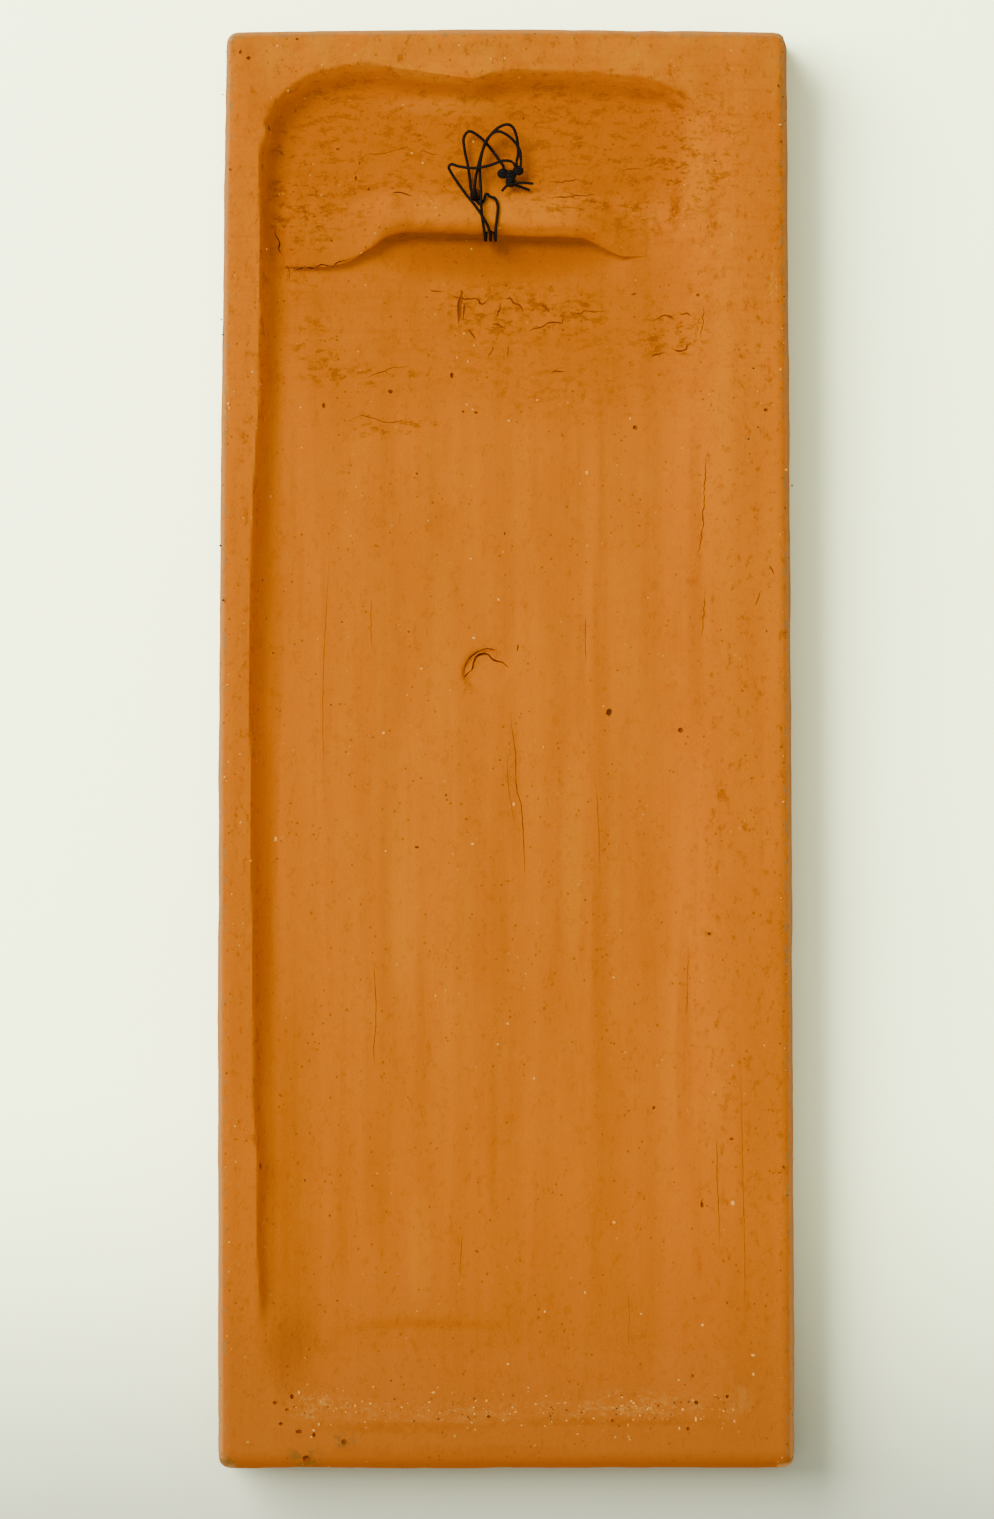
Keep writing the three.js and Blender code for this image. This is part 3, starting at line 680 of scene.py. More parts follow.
grid_z = np.stack(rows, axis=1)
base_x = np.repeat(columns[:, None], grid_z.shape[1], axis=1)
reference = np.where(base_x > 0, plus_end, -minus_end)
edge_shift = half_width(grid_z, base_x) - GRID_INSET - reference
grid_x = base_x + np.sign(base_x) * edge_shift * ease(np.abs(base_x), 40, reference)
grid_y = back_surface(grid_x, grid_z, np.stack(rises, axis=1))
print("back grid:", grid_x.shape[0], "columns by", grid_x.shape[1], "rows")

# %% [markdown]
# From the grid's border the surface goes on in rings: over the rounded back edge, down the sides, over the
# front edge, across the flat frame and down its two steps to the sunk panel. Each ring is a rounded outline
# drawn in by some distance. A ray from a point further in is followed until it meets that outline, which
# fans the rings out round the corners. The front needs fewer points, so one ring halves their number.

# %% One closed skin
class Skin:
    """The points and faces of one closed surface, collected ring by ring."""

    def __init__(self):
        self.points = []
        self.faces = []
        self.count = 0

    def add(self, x, y, z):
        """Adds points and gives back their numbers, in the same shape."""
        x, y, z = np.broadcast_arrays(x, y, z)
        self.points.append(np.stack([x.ravel(), y.ravel(), z.ravel()], axis=1))
        numbers = np.arange(self.count, self.count + x.size).reshape(x.shape)
        self.count += x.size
        return numbers

    def grid(self, numbers):
        """Squares over a grid of points."""
        corners = (numbers[:-1, :-1], numbers[1:, :-1], numbers[1:, 1:], numbers[:-1, 1:])
        self.faces += np.stack([corner.ravel() for corner in corners], axis=1).tolist()

    def band(self, outer, inner):
        """Squares between two closed rings of the same count."""
        corners = (outer, np.roll(outer, -1), np.roll(inner, -1), inner)
        self.faces += np.stack(corners, axis=1).tolist()

    def halving_band(self, outer, inner):
        """Triangles between a closed ring and one with half as many points."""
        even, odd, later = outer[::2], outer[1::2], np.roll(outer[::2], -1)
        inner_next = np.roll(inner, -1)
        for corners in ((even, odd, inner), (odd, later, inner_next), (odd, inner_next, inner)):
            self.faces += np.stack(corners, axis=1).tolist()


def border(grid):
    """The points round the edge of a grid, in order."""
    return np.concatenate([grid[:-1, 0], grid[-1, :-1], grid[:0:-1, -1], grid[0, :0:-1]])


def inside_outline(x, z, inset, radius):
    """How far a place is inside the rounded outline that is drawn in by inset."""
    across = half_width(z, x) - np.abs(x) - inset
    up = np.minimum(top_edge(x) - z, z - BOTTOM_Z) - inset
    corner = radius - np.hypot(np.maximum(radius - across, 0), np.maximum(radius - up, 0))
    return np.where((across < radius) & (up < radius), corner, np.minimum(across, up))


def fan_towards(x, z, inset):
    """Start points inside the outline, and directions from them to the given places."""
    reach = half_width(z, x) - inset
    from_x = np.clip(x, -reach, reach)
    from_z = np.clip(z, BOTTOM_Z + inset, top_edge(x) - inset)
    length = np.hypot(x - from_x, z - from_z)
    return from_x, from_z, (x - from_x) / length, (z - from_z) / length


def ring_at(fan, inset, radius):
    """Where the fan's rays meet the outline that is drawn in by inset."""
    from_x, from_z, step_x, step_z = fan
    near = np.zeros_like(from_x)
    far = near + 60
    for _ in range(40):
        middle = (near + far) / 2
        inside = inside_outline(from_x + step_x * middle, from_z + step_z * middle, inset, radius) > 0
        near = np.where(inside, middle, near)
        far = np.where(inside, far, middle)
    return from_x + step_x * near, from_z + step_z * near


# %% The body of the plaque
FRONT_Y = round(slab_low.y / MM, 2)
CORNER_RADIUS = 4.5
BACK_EDGE_ROUND = 4
BACK_FAN_INSET = 9.5
FRONT_FAN_INSET = 30
FRONT_EDGE_ROUND = 2
PANEL_DEPTH = 4.5
PANEL_CORNER_RADIUS = 6
PANEL_GRID_INSET = 26
EDGE_WOBBLE = 0.22
FRAME_PROFILE = [
    (5, 0), (8.5, 0), (12, 0), (14.5, 0), (15, 0.12), (15.35, 0.6), (15.6, 1.3), (15.9, 1.5), (17.2, 1.5),
    (17.6, 1.7), (18.6, 2.8), (19.6, 3.8), (20.4, 4.35), (21.2, 4.5),
]
PANEL_Y = FRONT_Y + PANEL_DEPTH

skin = Skin()
grid_numbers = skin.add(grid_x, grid_y, grid_z)
skin.grid(grid_numbers)
previous = border(grid_numbers)
fan = fan_towards(border(grid_x), border(grid_z), BACK_FAN_INSET)
around = np.cumsum(np.hypot(*(np.diff(border(side), prepend=border(side)[:1]) for side in (grid_x, grid_z))))


def edge_wobble(y):
    """Unevenness of the sides, in mm, that a mould and a wet hand leave."""
    shape = lumps(around, y + 0 * around, 17, 9, 61) + 0.5 * lumps(around, y + 0 * around, 5, 4, 62)
    return EDGE_WOBBLE * shape * np.minimum(ease(around, 0, 20), ease(around, around[-1], around[-1] - 20))


for angle in np.linspace(math.pi / 2, 0, 7)[:-1]:
    inset = SIDE_DRAFT + BACK_EDGE_ROUND * (1 - math.cos(angle))
    y = -BACK_EDGE_ROUND * (1 - math.sin(angle))
    x, z = ring_at(fan, inset + edge_wobble(y) * math.cos(angle), max(CORNER_RADIUS - inset, 0.8))
    ring = skin.add(x, y + back_surface(x, z) * ease(inset, 2, 5), z)
    skin.band(previous, ring)
    previous = ring

side_foot = FRONT_Y + FRONT_EDGE_ROUND
for share in np.linspace(0, 1, 6)[:-1]:
    y = between(-BACK_EDGE_ROUND, side_foot, share)
    x, z = ring_at(fan, SIDE_DRAFT * (1 - share) + edge_wobble(y), CORNER_RADIUS)
    ring = skin.add(x, y, z)
    skin.band(previous, ring)
    previous = ring

front_fan = fan_towards(x[::2], z[::2], FRONT_FAN_INSET)
front_profile = []
for angle in np.linspace(0, math.pi / 2, 4):
    inset = FRONT_EDGE_ROUND * (1 - math.cos(angle))
    front_profile.append((inset, FRONT_Y + FRONT_EDGE_ROUND * (1 - math.sin(angle)), CORNER_RADIUS - inset))
for inset, depth in FRAME_PROFILE:
    radius = between(CORNER_RADIUS - FRONT_EDGE_ROUND, PANEL_CORNER_RADIUS, min(inset / 15, 1))
    front_profile.append((inset, FRONT_Y + depth, radius))
front_profile.append((PANEL_GRID_INSET, PANEL_Y, 0.3))


def front_lumps(x, z):
    """Slight unevenness of the pressed front."""
    return 0.16 * lumps(x, z, 21, 27, 63) + 0.06 * lumps(x, z, 6, 7, 64)


for index, (inset, y, radius) in enumerate(front_profile):
    x, z = ring_at(front_fan, inset, radius)
    ring = skin.add(x, y + front_lumps(x, z) * ease(inset, 1, 8), z)
    if index == 0:
        skin.halving_band(previous, ring)
    else:
        skin.band(previous, ring)
    previous = ring

across_count = (grid_x.shape[0] - 1) // 2
down_count = (grid_x.shape[1] - 1) // 2
corner_at = np.cumsum([0, across_count, down_count, across_count])
loop = np.append(previous, previous[0])
sides = {
    "top": loop[: corner_at[1] + 1],
    "far": loop[corner_at[1]: corner_at[2] + 1],
    "foot": loop[corner_at[2]: corner_at[3] + 1][::-1],
    "near": loop[corner_at[3]:][::-1],
}
edge_points = np.vstack(skin.points)
edge = {name: edge_points[numbers] for name, numbers in sides.items()}
u = np.linspace(0, 1, across_count + 1)[:, None, None]
v = np.linspace(0, 1, down_count + 1)[None, :, None]
panel = (
    between(edge["top"][:, None], edge["foot"][:, None], v)
    + between(edge["near"][None], edge["far"][None], u)
    - between(between(edge["top"][0], edge["top"][-1], u), between(edge["foot"][0], edge["foot"][-1], u), v)
)
panel_y = PANEL_Y + front_lumps(panel[..., 0], panel[..., 2])
panel_numbers = np.zeros(panel.shape[:2], int)
panel_numbers[1:-1, 1:-1] = skin.add(panel[1:-1, 1:-1, 0], panel_y[1:-1, 1:-1], panel[1:-1, 1:-1, 2])
panel_numbers[:, 0] = sides["top"]
panel_numbers[:, -1] = sides["foot"]
panel_numbers[0, :] = sides["near"]
panel_numbers[-1, :] = sides["far"]
skin.grid(panel_numbers)
print("skin:", skin.count, "points,", len(skin.faces), "faces")

# %% [markdown]
# Fired clay shows hairline splits, tears and small pits. A mesh of one-millimetre squares is too coarse for
# them, so they are cut: each crack is a thin wedge that follows a short line, each pit a small rough ball,
# and a boolean takes them out of the body. The cutters carry their own darker clay, which stays on the cut
# faces as dirt and as painted shade in the crack. Tears shake more than splits do. Each line of the tables
# gives half the width and the depth in mm, and then the photograph's points.

# %% Cracks, tears and pits
CRACK_STEP = 0.9
CRACK_SHAKE = 0.16
CRACK_PROUD = 0.5
MAIN_CRACKS = {
    "edge of the left lobe": (0.24, 0.9, [
        (290, 275), (296, 271), (306, 268), (314, 269), (322, 266), (332, 267), (340, 263), (349, 261),
        (355, 256),
    ]),
    "curl of the left lobe": (0.25, 0.8, [
        (277, 226), (276, 236), (280, 243), (279, 250), (284, 257), (284, 264), (289, 269), (290, 279),
    ]),
    "long split": (0.13, 0.7, [
        (510, 705), (512, 730), (515, 748), (516, 775), (517, 790), (521, 806), (523, 830), (524, 850),
        (525, 884),
    ]),
    "side of the long split": (0.07, 0.25, [(507, 752), (508, 782), (511, 803), (515, 826)]),
    "rim of the dish": (0.17, 0.4, [
        (463, 676), (466, 664), (472, 656), (480, 651), (488, 649), (496, 651), (503, 654),
    ]),
    "flap in the dish": (0.38, 0.9, [
        (465, 684), (464, 679), (468, 673), (473, 669), (474, 661), (479, 655), (487, 654), (494, 660),
        (503, 663), (509, 668),
    ]),
    "left end of the strap joint": (0.26, 0.8, [(391, 195), (400, 194), (408, 197), (413, 198)]),
    "left drag line": (0.07, 0.2, [(330, 542), (328, 582), (325, 640), (323, 690), (323, 730), (325, 790)]),
    "second drag line": (0.07, 0.2, [(372, 594), (371, 620), (372, 652)]),
    "third drag line": (0.12, 0.35, [
        (374, 960), (375, 980), (376, 1000), (376, 1024), (374, 1048), (375, 1070),
    ]),
    "lower middle line": (0.07, 0.2, [(463, 1230), (461, 1252), (460, 1278)]),
    "lower right line": (0.07, 0.2, [(628, 1290), (629, 1318), (628, 1346)]),
    "right rim line": (0.09, 0.25, [(714, 1120), (716, 1150), (716, 1180), (718, 1216), (718, 1250)]),
    "middle right line": (0.08, 0.25, [(688, 940), (687, 980), (686, 1022)]),
    "far right line": (0.07, 0.2, [(738, 1052), (740, 1100), (741, 1150), (743, 1240), (744, 1340)]),
    "short upright line": (0.08, 0.2, [(586, 614), (585, 638), (586, 664)]),
    "edge of the light band": (0.07, 0.2, [(594, 770), (597, 800), (599, 840), (600, 884)]),
    "short mark by the dish": (0.22, 0.5, [(518, 644), (517, 652)]),
    "mark on the right rim": (0.18, 0.5, [(768, 566), (771, 572), (773, 576)]),
    "lower mark on the right rim": (0.16, 0.4, [(759, 592), (757, 598), (754, 606)]),
    "nick at the left wall": (0.3, 0.6, [(268, 128), (272, 133), (278, 135)]),
    "long mark at the right foot": (0.22, 0.5, [(702, 1196), (700, 1204)]),
}
TEAR_SHAKE = 0.42
TEARS = {
    "bar of the first tear": (0.3, 0.45, [
        (452, 297), (461, 298), (470, 300), (478, 300), (482, 304), (489, 299),
    ]),
    "start of the first tear": (0.24, 0.3, [(430, 290), (437, 292), (443, 291)]),
    "stem of the first tear": (0.9, 0.6, [(462, 291), (461, 298), (459, 306), (460, 315), (458, 325)]),
    "second stem of the first tear": (0.4, 0.45, [(464, 302), (464, 308), (463, 319)]),
    "foot of the first tear": (0.34, 0.35, [(467, 330), (473, 334), (477, 340)]),
    "side of the second tear": (0.3, 0.4, [(496, 318), (499, 310), (501, 302)]),
    "top of the second tear": (0.34, 0.45, [(504, 299), (511, 299), (515, 304), (520, 307), (523, 313)]),
    "mark in the second tear": (0.4, 0.4, [(492, 324), (499, 326), (506, 328)]),
    "mark under the second tear": (0.24, 0.3, [(493, 346), (492, 352), (489, 357)]),
    "second mark under the tears": (0.22, 0.3, [(509, 346), (508, 352), (506, 357)]),
    "third tear": (0.3, 0.45, [(528, 331), (539, 328), (549, 324), (557, 322), (561, 324), (563, 318)]),
    "end of the third tear": (0.24, 0.35, [(567, 316), (576, 314), (590, 312), (604, 312)]),
    "crumbled spot": (0.6, 0.4, [(541, 305), (545, 307), (550, 313)]),
    "upper marks on the right": (0.3, 0.4, [(653, 321), (660, 318), (668, 317), (674, 321)]),
    "end of the upper marks": (0.28, 0.35, [(680, 316), (685, 314), (690, 317)]),
    "mark over the right tears": (0.34, 0.3, [(631, 296), (637, 293)]),
    "lower marks on the right": (0.4, 0.45, [(672, 351), (679, 353), (685, 350), (690, 343)]),
    "left of the lower marks": (0.3, 0.3, [(650, 357), (658, 355), (666, 354)]),
    "upright mark on the right": (0.14, 0.3, [(704, 306), (702, 320), (701, 330), (699, 341)]),
    "short mark in the middle": (0.2, 0.25, [(550, 373), (558, 371), (565, 372)]),
    "upper right ridge": (0.16, 0.3, [(707, 448), (704, 480), (702, 520), (699, 548), (695, 566)]),
    "lower right ridge": (0.12, 0.25, [(704, 590), (703, 610), (701, 640)]),
    "wrinkle in the hollow": (0.13, 0.3, [
        (360, 162), (368, 156), (380, 155), (392, 152), (405, 149), (415, 150),
    ]),
    "end of the wrinkle": (0.13, 0.3, [(420, 152), (430, 155), (440, 156)]),
    "right end of the strap joint": (0.2, 0.35, [(548, 199), (565, 199), (585, 197), (600, 196)]),
    "faint line under the lip": (0.14, 0.25, [(345, 423), (362, 416), (378, 421), (396, 422), (412, 418)]),
    "faint arc under the lip": (0.12, 0.22, [(362, 380), (376, 374), (394, 368), (412, 367)]),
    "mark over the dark patch": (0.2, 0.3, [(548, 184), (560, 183), (572, 181), (582, 182)]),
    "mark in the right of the hollow": (0.16, 0.3, [(622, 172), (632, 170), (645, 169)]),
}
PITS = {
    "brown spot": (609, 712, 1.3), "spot on the right": (680, 730, 1.1), "black spot": (417, 847, 0.7),
    "right pit": (708, 933, 0.7), "lower pit": (654, 1107, 0.6), "rim pit": (730, 1137, 0.7),
    "deep pit": (701, 1203, 0.9), "foot pit": (692, 1373, 0.6), "second foot pit": (695, 1399, 0.8),
    "rim foot pit": (726, 1393, 0.8), "low pit": (687, 1425, 0.7), "middle foot pit": (489, 1413, 0.7),
    "right foot pit": (612, 1417, 0.7),
    "corner pit one": (276, 1399, 0.8), "corner pit two": (293, 1393, 1.0),
    "corner pit three": (288, 1406, 0.7), "corner pit four": (282, 1420, 0.8),
    "corner pit five": (300, 1428, 1.0), "corner pit six": (315, 1431, 0.9),
    "corner pit seven": (345, 1438, 1.1), "large corner pit": (308, 1455, 1.6),
    "pit by the tear": (452, 376, 0.9), "pit under the tear": (476, 413, 0.6),
    "pit on the right": (635, 428, 0.9), "pit in the hollow": (338, 150, 0.6),
    "pit over the strap": (356, 179, 0.7), "strap pit": (369, 190, 0.7),
    "lobe pit": (332, 242, 0.6), "wall lump pit": (262, 1164, 1.0), "floor pit": (391, 392, 0.9),
    "second floor pit": (324, 406, 0.8), "rim top pit": (298, 43, 0.7), "second rim top pit": (250, 62, 0.8),
    "third rim top pit": (242, 56, 0.7), "right wall pit": (697, 297, 0.7), "far pit": (764, 412, 0.7),
}


def crack_cutter(half_wide, deep, corners, seed, shake):
    """Points and faces of a thin wedge along a line on the back. It narrows to nothing at both ends."""
    flat = [(x, 0, z) for x, z in (from_photo(column, row) for column, row in corners)]
    route, length = smooth_route(flat, CRACK_STEP)
    steps = np.arange(len(route))
    x = route[:, 0] + shake * lumps(steps, 0 * steps, 1.3, 1, seed)
    z = route[:, 2] + shake * lumps(steps, 0 * steps, 1.3, 1, seed + 1)
    run_x = np.gradient(x)
    run_z = np.gradient(z)
    run = np.hypot(run_x, run_z)
    share = steps / steps[-1]
    swell = np.clip(4 * np.minimum(share, 1 - share), 0.12, 1)
    swell = swell * (0.8 + 0.35 * lumps(steps, 0 * steps, 3, 1, seed + 2))
    depth = deep * swell
    wide = half_wide * swell * (1 + CRACK_PROUD / depth)
    ground = back_surface(x, z, crest_rise(x, z))
    left = np.stack([x - run_z / run * wide, ground + CRACK_PROUD, z + run_x / run * wide], axis=1)
    right = np.stack([x + run_z / run * wide, ground + CRACK_PROUD, z - run_x / run * wide], axis=1)
    foot = np.stack([x, ground - depth, z], axis=1)
    points = np.stack([left, right, foot], axis=1).reshape(-1, 3)
    faces = [(0, 1, 2)]
    for step in range(len(steps) - 1):
        for k in range(3):
            a = 3 * step + k
            b = 3 * step + (k + 1) % 3
            faces.append((b, a, a + 3, b + 3))
    last = 3 * (len(steps) - 1)
    faces.append((last + 2, last + 1, last))
    return points, faces


def crest_rise(x, z):
    """The strap's rise over the floor at a place on its upper side."""
    order = np.argsort(strap_distance[: lowest + 1])
    share = np.interp(z - lip_height(x), strap_distance[order], strap_height[order], left=0, right=0)
    return share * (RECESS_DEPTH - STRAP_COVER) * strap_fullness(x)


def rough_ball(centre, radius, flatness, random):
    """Points and faces of a small irregular ball, flattened in y."""
    ball = bmesh.new()
    bmesh.ops.create_icosphere(ball, subdivisions=1, radius=1)
    points = np.array([vertex.co for vertex in ball.verts])
    faces = [tuple(vertex.index for vertex in face.verts) for face in ball.faces]
    ball.free()
    points *= random.uniform(0.72, 1.15, (len(points), 1))
    stretch = random.uniform(0.75, 1.3)
    return points * (radius * stretch, radius * flatness, radius / stretch) + centre, faces


# Which of the body's materials the skin and the relief have, and which a cutter leaves where it cuts
CLAY_SLOT = 0
CUT_SLOT = 1
PIT_LIFT = 0.1
PIT_FLATNESS = 0.9
cutters = []
for index, (half_wide, deep, corners) in enumerate(MAIN_CRACKS.values()):
    cutters.append((*crack_cutter(half_wide, deep, corners, 100 + 3 * index, CRACK_SHAKE), CUT_SLOT))
for index, (half_wide, deep, corners) in enumerate(TEARS.values()):
    cutters.append((*crack_cutter(half_wide, deep, corners, 300 + 3 * index, TEAR_SHAKE), CUT_SLOT))
random = np.random.default_rng(7)
for column, row, radius in PITS.values():
    x, z = from_photo(column, row)
    ground = float(back_surface(np.array([x]), np.array([z]), crest_rise(np.array([x]), np.array([z])))[0])
    cutters.append((*rough_ball((x, ground + PIT_LIFT, z), radius, PIT_FLATNESS, random), CUT_SLOT))
print("cutters:", len(cutters))

# %% [markdown]
# The cord goes down through a hole behind the strap. Its cutter is a bar along the hole's own bent line.

# %% The hole behind the strap
HOLE_RADIUS = 2
HOLE_LOWER_X = 5.2
HOLE_UPPER_X = 9.2
HOLE_WALL_ABOVE = 2.2
HOLE_STEP = 1.2

hole_y = -STRAP_COVER - HOLE_WALL_ABOVE - HOLE_RADIUS
hole_line = [
    (HOLE_LOWER_X, hole_y, LIP_Z - 0.6), (HOLE_LOWER_X, hole_y, LIP_Z + 1.5),
    ((HOLE_LOWER_X + HOLE_UPPER_X) / 2, hole_y, LIP_Z + 5), (HOLE_UPPER_X, hole_y + 0.8, LIP_Z + 10),
    (HOLE_UPPER_X + 0.6, hole_y + 3.6, LIP_Z + 13.2), (HOLE_UPPER_X + 0.8, CORD_DIAMETER, LIP_Z + 15),
]
hole_route, hole_length = smooth_route(hole_line, HOLE_STEP)
hole_cutter = sweep(hole_route, lambda place, angle: HOLE_RADIUS)
print(f"hole: {hole_length:.0f} mm long")

# %% [markdown]
# The front can't be seen in the photograph. It is finished as such plaques are, but plainer: a flat frame,
# a stepped moulding, and on the sunk panel a leafy stem under a rosette. Leaves, petals and stem are one
# kind of blade: a closed body swept along a bending line, with a crowned section, a groove down its middle
# and shallow veins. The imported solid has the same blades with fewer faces.

# %% The relief on the front
RELIEF_HEIGHT = 4
RELIEF_ROOT = 1
STEM_WIDTH = 7
STEM_FOOT_GAP = 16
LEAF_PAIRS = 6
LEAF_LENGTH = 62
LEAF_TAPER = 0.72
LEAF_WIDTH = 21
LEAF_HEADING = math.radians(38)
LEAF_BEND = math.radians(24)
ROSETTE_RADIUS = 38
ROSETTE_TOP_GAP = 14
PETALS = 8
PETAL_WIDTH = 19
PETAL_START = 3
BOSS_RADIUS = 9
PANEL_EDGE = 20.5
VEIN_DEPTH = 0.4
ACROSS = np.concatenate([[-1], np.linspace(-1, 1, 15), [1]])


def blade(x, z, heading, bend, length, width_at, height, steps, veins):
    """Points and faces of a raised leaf, petal or stem that starts at (x, z) and points along heading."""
    points = []
    for place in range(steps + 1):
        share = place / steps
        angle = heading + bend * share
        half = width_at(share) / 2
        crown = height * (0.35 + 0.65 * math.sin(math.pi * min(0.25 + share * 0.75, 1)))
        groove = 0.38 * np.exp(-(ACROSS / 0.28) ** 2)
        shoulder = 0.35 + 0.65 * np.sqrt(np.clip(1 - (np.abs(ACROSS) - 0.45).clip(0) ** 2 / 0.3025, 0, 1))
        rise = crown * (shoulder - groove)
        if veins:
            ripple = np.abs(np.sin(math.pi * (veins * share - 0.9 * np.abs(ACROSS)))) ** 0.6
            rise = rise - VEIN_DEPTH * (1 - ripple) * np.sin(math.pi * np.clip(np.abs(ACROSS), 0, 1))
        rise[[0, -1]] = -RELIEF_ROOT
        for across, up in zip(ACROSS, rise):
            aside = across * half
            points.append((x + aside * math.cos(angle), PANEL_Y - up, z - aside * math.sin(angle)))
        x += length / steps * math.sin(angle)
        z += length / steps * math.cos(angle)
    count = len(ACROSS)
    faces = [tuple(range(count)), tuple(reversed(range(steps * count, (steps + 1) * count)))]
    for place in range(steps):
        for k in range(count):
            a = place * count + k
            b = place * count + (k + 1) % count
            faces.append((b, a, a + count, b + count))
    return points, faces


def leaf_width(width):
    """Width along a leaf: slender foot, full middle, pointed tip."""
    return lambda share: 1.2 + (width - 1.2) * math.sin(math.pi * share ** 0.8)


def petal_width(width):
    """Width along a petal, fullest near its rounded tip."""
    return lambda share: 2 + (width - 2) * math.sin(math.pi * min(share, 0.93) ** 1.5)


def stem_width(share):
    """Width along the stem, which thins towards the rosette."""
    return between(STEM_WIDTH, 0.6 * STEM_WIDTH, share)


rosette_z = TOP_Z - PANEL_EDGE - ROSETTE_TOP_GAP - ROSETTE_RADIUS
stem_foot = BOTTOM_Z + PANEL_EDGE + STEM_FOOT_GAP
stem_length = rosette_z - stem_foot
blades = [blade(0, stem_foot, 0, 0, stem_length, stem_width, 0.7 * RELIEF_HEIGHT, 40, 0)]
for pair in range(LEAF_PAIRS):
    share = pair / (LEAF_PAIRS - 1)
    size = between(1, LEAF_TAPER, share)
    leaf_z = stem_foot + between(0.04, 0.74, share) * stem_length
    width_at = leaf_width(size * LEAF_WIDTH)
    for side in (-1, 1):
        heading, bend = side * LEAF_HEADING, side * LEAF_BEND
        blades.append(blade(0, leaf_z, heading, bend, size * LEAF_LENGTH, width_at, RELIEF_HEIGHT, 30, 6))
for petal in range(PETALS):
    heading = 2 * math.pi * (petal + 0.5) / PETALS
    petal_x = PETAL_START * math.sin(heading)
    petal_z = rosette_z + PETAL_START * math.cos(heading)
    length = ROSETTE_RADIUS - PETAL_START
    width_at = petal_width(PETAL_WIDTH)
    blades.append(blade(petal_x, petal_z, heading, 0, length, width_at, 0.85 * RELIEF_HEIGHT, 22, 3))
print("blades of relief:", len(blades))

# %% [markdown]
# A finish is a material made of nodes. Shader sums read best as sums, so one small class wraps a socket and
# lets Python's own operators add the Math nodes. Every other node comes from one method that takes its
# type, its settings and what goes into its sockets.

# %% A small language for finishes
class Level:
    """A number that changes over a surface, kept as the socket that gives it."""

    def __init__(self, finish, socket):
        self.finish = finish
        self.socket = socket

    def maths(self, operation, first, second):
        """One Math node on two numbers or levels."""
        return self.finish.node("ShaderNodeMath", {"operation": operation}, {0: first, 1: second})

    def __add__(self, other):
        return self.maths("ADD", self, other)

    def __radd__(self, other):
        return self.maths("ADD", other, self)

    def __sub__(self, other):
        return self.maths("SUBTRACT", self, other)

    def __rsub__(self, other):
        return self.maths("SUBTRACT", other, self)

    def __mul__(self, other):
        return self.maths("MULTIPLY", self, other)

    def __rmul__(self, other):
        return self.maths("MULTIPLY", other, self)


class Finish:
    """A material, and the nodes that are put into it."""

    def __init__(self, name):
        self.material = bpy.data.materials.new(name)
        self.material.use_nodes = True
        self.tree = self.material.node_tree
        self.tree.nodes.clear()

    def node(self, kind, settings=None, sockets=None, output=0):
        """Adds a node. Its settings are set first, then its sockets, by value or by link."""
        made = self.tree.nodes.new(kind)
        for name, value in (settings or {}).items():
            setattr(made, name, value)
        for name, value in (sockets or {}).items():
            if isinstance(value, Level):
                self.tree.links.new(value.socket, made.inputs[name])
            else:
                made.inputs[name].default_value = value
        return Level(self, made.outputs[output])

    def place_in_mm(self):
        """The place on the object, in mm."""
        place = self.node("ShaderNodeTexCoord", output="Object")
        return self.node("ShaderNodeVectorMath", {"operation": "SCALE"}, {"Vector": place, "Scale": 1 / MM})

    def shifted(self, place, shift):
        """The place moved evenly along all three axes, so that two patterns don't fall together."""
        return self.node("ShaderNodeVectorMath", {"operation": "ADD"}, {0: place, 1: (shift, shift, shift)})

    def grain(self, place, size, detail=2, roughness=0.5, shift=0):
        """Random mottling from 0 to 1. The size is its scale in mm along x, y and z."""
        scaled = self.node("ShaderNodeVectorMath", {"operation": "DIVIDE"}, {0: place, 1: size})
        moved = self.shifted(scaled, shift)
        return self.node("ShaderNodeTexNoise", {"noise_dimensions": "3D"}, {
            "Vector": moved, "Scale": 1, "Detail": detail, "Roughness": roughness,
        })

    def cells(self, place, size, shift=0):
        """Distance to the nearest of many scattered points, in cells of this size in mm."""
        moved = self.shifted(place, shift)
        return self.node("ShaderNodeTexVoronoi", {"feature": "F1"}, {"Vector": moved, "Scale": 1 / size})

    def step(self, value, start, end):
        """From 0 at start to 1 at end, smoothly."""
        return self.node("ShaderNodeMapRange", {"interpolation_type": "SMOOTHSTEP"}, {
            "Value": value, "From Min": start, "From Max": end,
        })

    def mix(self, share, first, second):
        """A colour between two others."""
        return self.node("ShaderNodeMix", {"data_type": "RGBA"}, {0: share, 6: first, 7: second}, 2)

    def spot(self, x, z, column, row, radius_x, radius_z):
        """1 in the middle of a soft patch that shows at this point of the photograph, and 0 outside it."""
        centre_x, centre_z = from_photo(column, row)
        across = (x - centre_x) * (1 / radius_x)
        up = (z - centre_z) * (1 / radius_z)
        return 1 - self.step(across * across + up * up, 0, 1)

    def spots(self, x, z, table):
        """The sum of a table of soft patches, each with its own share."""
        total = 0
        for column, row, radius_x, radius_z, share in table.values():
            total = share * self.spot(x, z, column, row, radius_x, radius_z) + total
        return total

    def surface(self, **sockets):
        """Puts the shader on the material. A word such as Base_Color names the socket Base Color."""
        named = {name.replace("_", " "): value for name, value in sockets.items()}
        shader = self.node("ShaderNodeBsdfPrincipled", None, named)
        self.node_output(shader)
        return self.material

    def node_output(self, shader):
        """Links a shader to the material's output."""
        output = self.tree.nodes.new("ShaderNodeOutputMaterial")
        self.tree.links.new(shader.socket, output.inputs["Surface"])


